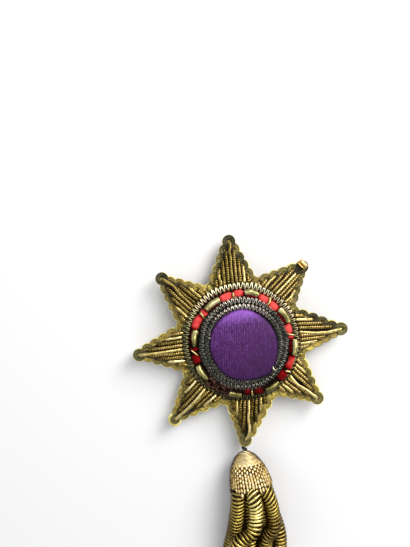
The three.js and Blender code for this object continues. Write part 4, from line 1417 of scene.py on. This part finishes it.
def hung(along, angle):
    """A distance along the head, lifted towards the net's edge so that the edge makes points
    between the strands and arches over them, the widest of them at the right."""
    arches = np.maximum(np.abs(np.sin(SCALLOP["count"] / 2 * angle)), SCALLOP["least"])
    arches = np.maximum(arches, np.maximum(np.cos(angle), 0) ** 8)
    share = np.clip((along - SCALLOP["from"]) / (NET_LENGTH - SCALLOP["from"]), 0, 1)
    return along - SCALLOP["rise"] * arches * share


def head_ring(along, proud, count, edge=True):
    """A closed ring round the head; with edge it rises and falls as the net's edge does."""
    angles = full_turn(count)
    along = np.full(count, along)
    return head_place(hung(along, angles) if edge else along, angles, proud)


print("head up direction:", HEAD_UP.round(2), "across:", HEAD_ACROSS.round(2))

# %% [markdown]
# The net's stitches hang in the row above, so they sit in staggered columns. There are as many in
# the bottom row as in the top one, and they grow towards the skirt. Each is one oval grain of a
# few dozen faces, leaning left and right in turn. Real loops of thread would be truer, but at
# this size a stitch is seen as a grain of light between dark gaps.

# %% Stitches of the net
NET = {"columns": 21, "rows": 13, "first": 4.1, "growth": 1.06, "sunk": -0.1, "slant": 0.12, "long": 0.86,
       "astray": 0.012, "proud": 0.19, "most_proud": 0.38}
NET_TONE = {"each": (0.6, 0.9), "near_crown": 0.1, "crown_to": 7.0}
STITCH_WIDTH = ([4.5, 6.5], [0.25, 0.215])
STITCH_HEIGHT = ([4.0, 6.5], [0.55, 1.0])
FLANK = {"slimmer": 0.1, "darker": 0.75}
rows = np.arange(NET["rows"] + 1) / NET["rows"]
row_along = NET["first"] + (NET_LENGTH + 0.2 - NET["first"]) * rows ** NET["growth"]


def oval(middle, long_way, wide_way, out_way, tone):
    """A grain: rings of six along its length whose size is sqrt(1 - t^2), flattened outwards."""
    t = np.array([-0.93, -0.55, 0.0, 0.55, 0.93])
    a = full_turn(6)
    size = np.sqrt(1 - t ** 2)[:, None, None]
    ring = np.cos(a)[None, :, None] * out_way + np.sin(a)[None, :, None] * wide_way
    return grid(middle + t[:, None, None] * long_way + size * ring, u=t, wrap=True, poles=True, tone=tone)


def net_stitch(row, column, rng):
    """One stitch: its own directions down, across and out of the head are found from two places close by, and
    it gets slimmer towards the head's flanks. Its tone is painted darker on the flanks, as shade where the
    head turns away, and brighter near the crown, as a painted highlight."""
    angle = 2 * np.pi * (column + 0.5 * (row % 2)) / NET["columns"]
    angle = angle + rng.uniform(-NET["astray"], NET["astray"])
    along = (row_along[row] + row_along[row + 1]) / 2
    angles = np.array([angle, angle, angle + 0.03])
    runs = np.array([along, along + 0.3, along])
    place, below, beside = head_place(hung(runs, angles), angles, NET["sunk"])
    down = unit(below - place)
    wide = unit(beside - place)
    out = np.cross(down, wide)
    out = out * np.sign(out @ (place - APEX - along * HEAD_DOWN))
    spacing = 2 * np.pi * np.interp(along, HEAD_ALONG, HEAD_RADIUS) / NET["columns"]
    leaning = down + wide * NET["slant"] * (1 if row % 2 else -1)
    lengthways = leaning * (row_along[row + 1] - row_along[row]) * NET["long"]
    side = np.cross(out, unit(lengthways))
    flank = (1 - max(0.0, np.sin(angle))) ** 2
    width = spacing * (np.interp(along, *STITCH_WIDTH) - FLANK["slimmer"] * flank)
    height = min(NET["most_proud"], spacing * NET["proud"]) * np.interp(along, *STITCH_HEIGHT)
    # Painted highlight near the crown and painted shade on the flanks.
    near_crown = NET_TONE["near_crown"] * max(0.0, 1 - along / NET_TONE["crown_to"])
    tone = rng.uniform(*NET_TONE["each"]) + near_crown - FLANK["darker"] * flank
    return oval(place, lengthways, side * width, out * height, tone)


rng = np.random.default_rng(101)
stitches = [net_stitch(row, column, rng) for row in range(NET["rows"]) for column in range(NET["columns"])]
print("stitches of the net:", len(stitches))

# %% [markdown]
# The crown of the head is wound with close turns of thread, painted darker on their flanks than on the top as
# shade, and the first stitches begin just below them. Under the net lies the mould itself, painted dark as
# the shade between the stitches: darker further down the head, darkest on its upper side, and dark inside the
# hollow. Its wall turns inward at the net's edge, so that the head is hollow where the strands come out of
# it.

# %% Crown and mould of the head
CROWN = {"first": 0.3, "last": 5.0, "pitch": 0.4, "wire": 0.19, "sunk": -0.16, "steps": 72}
CROWN_TONE = {"top": 0.92, "flanks": 1.35, "power": 1.4, "unlike": 0.1}
MOULD = {"rows": 28, "closer": 1.5, "sides": 96, "sunk": ([3, 7], [-0.2, -0.42]), "rim": 0.2,
         "rim_sunk": -1.2, "inside": 9.0, "inside_sunk": -1.6, "tone": ([2.0, 8.0], [0.7, 0.1]), "least": 0.1}
NET_GOLD = gilt_wire("net_gold_thread", 0.9, 0.03, 0.3,
                     (52, 36, 12), (226, 192, 118), (255, 246, 204), metal=0.6)
UNDER_NET = gilt_wire("gold_thread_under_the_net", 0.5, 0.06, 0.35,
                      (60, 40, 14), (146, 112, 56), (236, 210, 150), metal=0.6)
mould_rows = NET_LENGTH * np.linspace(0, 1, MOULD["rows"]) ** MOULD["closer"]
mould = [head_ring(along, np.interp(along, *MOULD["sunk"]), MOULD["sides"]) for along in mould_rows]
mould.append(head_ring(NET_LENGTH - MOULD["rim"], MOULD["rim_sunk"], MOULD["sides"]))
mould.append(head_ring(MOULD["inside"], MOULD["inside_sunk"], MOULD["sides"], edge=False))
# Painted shade between the stitches: the mould's tone falls along the head and is least on its upper side and
# inside the hollow.
mould_tone = np.append(np.interp(mould_rows, *MOULD["tone"]), [MOULD["least"]] * 2)
backwards = np.clip(np.sin(full_turn(MOULD["sides"])), 0, 1)  # the columns run backwards: the underside
mould_tone = mould_tone[:, None] * (MOULD["least"] + (1 - MOULD["least"]) * backwards)
mould_shape = grid(np.stack(mould)[:, ::-1], wrap=True, poles=True, look=1, tone=mould_tone)
on_top = np.clip(np.sin(full_turn(CROWN["steps"])), 0, 1)
turns = []
for along in np.arange(CROWN["first"], CROWN["last"], CROWN["pitch"]):
    ring = head_ring(along, CROWN["sunk"], CROWN["steps"], edge=False)
    # Painted shade: the crown's turns are darker on the flanks and underside than on top.
    tone = CROWN_TONE["top"] - CROWN_TONE["flanks"] * (1 - on_top) ** CROWN_TONE["power"]
    tone = tone + rng.uniform(-CROWN_TONE["unlike"], CROWN_TONE["unlike"])
    turns.append(bar(ring, CROWN["wire"], HEAD_DOWN, 6, closed=True, tone=tone))
head = stitches + turns + [mould_shape]
make_piece("tassel_net", head, [NET_GOLD, UNDER_NET], "tassel_net", ["tassel_cap"])

# %% [markdown]
# The skirt is eight fat bullion strands. They come out from under the net, spread, and pile on
# each other where they lie, and one of them swings over its neighbours to the left. Their lines
# follow the solids' closely, only that the two at the right lie the other way round. The table
# gives each strand's angle in the head, where it lies 31 mm and 40 mm along (near and far), its
# end and its length, and then its tones and the pitch of its turns.

# %% Lines of the strands
STRAND_COLUMNS = ("angle", "ring", "near_x", "near_z", "far_x", "far_z", "end_x", "end_z",
                  "length", "lit", "deep", "pitch", "far_lit")
STRAND_ROWS = [
    (90, 1.0, -5.4, 15.0, -9.4, 12.4, -8.0, 7.4, 75.0, 0.46, 0.6, 1.3, -0.22),
    (150, 1.0, -7.2, 9.8, -6.2, 7.6, -2.7, 7.4, 77.0, -0.02, 0.25, 1.16, -0.1),
    (30, 1.0, 4.4, 10.6, 3.9, 8.8, 2.9, 7.4, 74.5, 0.0, 0.4, 1.2, 0.0),
    (0, 0.35, 5.6, 3.4, 6.4, 2.8, 5.3, 2.8, 77.0, -0.1, 0.0, 1.2, 0.0),
    (180, 0.35, -1.8, 8.4, -1.4, 7.6, -5.3, 2.8, 76.5, 0.0, 0.2, 1.2, 0.0),
    (-150, 1.0, -7.4, 4.2, -9.2, 3.0, -10.6, 2.8, 75.5, 0.0, 0.1, 1.2, -0.1),
    (-30, 1.0, 9.2, 7.4, 9.4, 7.0, 10.6, 2.8, 76.0, 0.0, 0.2, 1.2, 0.0),
    (-90, 1.0, 0.0, 2.8, 0.0, 2.8, 0.0, 2.8, 76.0, 0.0, 0.2, 1.2, 0.0),
]
STRANDS = [dict(zip(STRAND_COLUMNS, row)) for row in STRAND_ROWS]
ROOT_RING = (11.0, 3.7)
NECK_RING = (15.0, 5.9)
FLARE = {"along": 22.0, "across": 7.4, "up": 5.7, "middle": 8.6}
SETTLE = (31.0, 40.0)
KNEE = {90: (27.0, -0.9, 15.2), 30: (27.0, 6.7, 11.6)}


def skirt_place(along, across, height):
    """A place in the skirt: along the head's axis and then straight down the badge, off to the
    side by across, at a height above the table."""
    axis = APEX + (BASE - APEX) * min(1.0, along / HEAD_LENGTH)
    return np.array([axis[0] + across, axis[1] - max(0.0, along - HEAD_LENGTH), height])


def head_height(along):
    """How high the head's axis is above the table."""
    return APEX[2] + (BASE[2] - APEX[2]) * min(1.0, along / HEAD_LENGTH)


def strand_line(strand):
    """The middle line of a strand: out of the head, over the flare, over a knee if it has one, and
    then down to where it lies."""
    c, s = polar(strand["ring"], strand["angle"])
    rings = (ROOT_RING, NECK_RING)
    places = [skirt_place(along, ring * c, head_height(along) + ring * s) for along, ring in rings]
    places.append(skirt_place(FLARE["along"], FLARE["across"] * c, FLARE["middle"] + FLARE["up"] * s))
    if strand["angle"] in KNEE:
        places.append(skirt_place(*KNEE[strand["angle"]]))
    near, far, end = (np.array([strand[key + "_x"], strand[key + "_z"]]) for key in ("near", "far", "end"))
    places.append(skirt_place(SETTLE[0], *near))
    places.append(skirt_place(SETTLE[1], *far))
    places.append(skirt_place((SETTLE[1] + strand["length"]) / 2, *(far + end) / 2))
    places.append(skirt_place(strand["length"], *end))
    return curve(places, 0.4)


print("strand lengths in mm:", [round(float(run_of(strand_line(strand))[0][-1])) for strand in STRANDS])

# %% [markdown]
# Each strand is thick gilt wire wound round a soft core, like the spring of an old telephone cord, and is
# modelled just so: a helix round the strand's line, over a dark core, whose turns draw in to a rounded tip at
# the end. Near the head the turns lean and sag, differently on every strand. Their tones are painted light
# and shade: the lit column makes the topmost strand the brightest and some others darker, most strands have a
# stretch of painted shade past the net, the topmost the deepest and shortest one, three are painted darker
# from there on, and every turn is painted darker on its flanks than on its top.

# %% Strands of the skirt
STRAND_RADIUS = 2.75
COIL = {"wire": 0.43, "per_turn": 20, "tip": 3.0, "tip_size": 0.12, "uneven": 0.02, "core": 1.15,
        "core_tip": 2.5, "lean": 0.12, "sag": 0.1, "flank_shade": 0.3}
STRAND_TONE = {"middle": 0.58, "uneven": 0.12}
SHEAR_RUN = [0, 5, 10, 16]
LEAN = {90: [0.5, 0.45, 0.1, 0.05], 30: [0.6, 0.5, 0.1, 0.0], 150: [0.1, 0.15, 0.1, 0.0]}
BOW = {90: [-0.1, -0.15, 0.0, 0.1], 150: [0.1, 0.25, 0.35, 0.5], 30: [0.0, 0.2, 0.35, 0.35], -30: [0.2] * 4}
SHADE = {"at": 19.0, "wide": 7.0, "narrow": 4.0}
BEYOND = {"from": 15.0, "over": 5.0}
UNDER_GOLD = gilt_wire("strand_core_thread", 0.5, 0.06, 0.35,
                       (34, 22, 8), (84, 58, 22), (140, 104, 44), metal=0.8)
BULLION = gilt_wire("bullion_gold_wire", 0.35, 0.03, 0.18, (92, 74, 34), (204, 180, 94), (255, 242, 162))


def sheared(table, angle, run, amount, rng):
    """How far a strand's turns lean or sag along it: from its table, or else a slight waver."""
    if angle in table:
        return np.interp(run, SHEAR_RUN, table[angle])
    return amount * waver(len(run), rng, 6)


rng = np.random.default_rng(111)
toward = UP + np.array([0.05, 0.0, 0.0])
for n, strand in enumerate(STRANDS):
    line = strand_line(strand)
    run = run_of(line)[0]
    left = np.clip((run[-1] - run) / COIL["tip"], 0, 1)
    draw_in = np.sqrt(1 - (1 - left) ** 2)
    size = (STRAND_RADIUS - COIL["wire"]) * (COIL["tip_size"] + (1 - COIL["tip_size"]) * draw_in)
    size = size * (1 + COIL["uneven"] * waver(len(run), rng, 12))
    lean = sheared(LEAN, strand["angle"], run, COIL["lean"], rng)
    bow = sheared(BOW, strand["angle"], run, COIL["sag"], rng)
    shade_run = SHADE["narrow"] if strand["angle"] == 90 else SHADE["wide"]
    # Painted light and shade: lit brightens or darkens the whole strand, deep paints shade past the net, and
    # far_lit darkens the rest of three strands.
    tone = STRAND_TONE["middle"] + strand["lit"] + STRAND_TONE["uneven"] * waver(len(run), rng, 8)
    tone = tone - strand["deep"] * np.exp(-((run - SHADE["at"]) / shade_run) ** 2)
    tone = tone + strand["far_lit"] * np.clip((run - BEYOND["from"]) / BEYOND["over"], 0, 1)
    coil = wound(line, size, COIL["wire"], strand["pitch"], toward, COIL["per_turn"], rng.uniform(0, 6),
                 lean, bow, tone, sides=7, flank_shade=COIL["flank_shade"])
    core_radius = tapered(line, 1, COIL["core_tip"]) * (STRAND_RADIUS - COIL["core"])
    core = bar(line, core_radius, toward, 10, look=1)
    make_piece(f"strand_{n + 1}", [coil, core], [BULLION, UNDER_GOLD], "tassel_bullion", ["tassel_skirt"])

# %% [markdown]
# Last, the size of the dressed badge is printed beside the size of its solids, so that the two can be
# compared. Thread may stand a little proud of a solid, but nothing may outgrow it.

# %% Sizes and the end
dressed_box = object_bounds()
sizes = {"cad": [list(corner) for corner in cad_box], "visual": [list(corner) for corner in dressed_box]}
for name, corners in sizes.items():
    print(name, "size in mm:", [round((high - low) / MM, 1) for low, high in zip(*corners)])
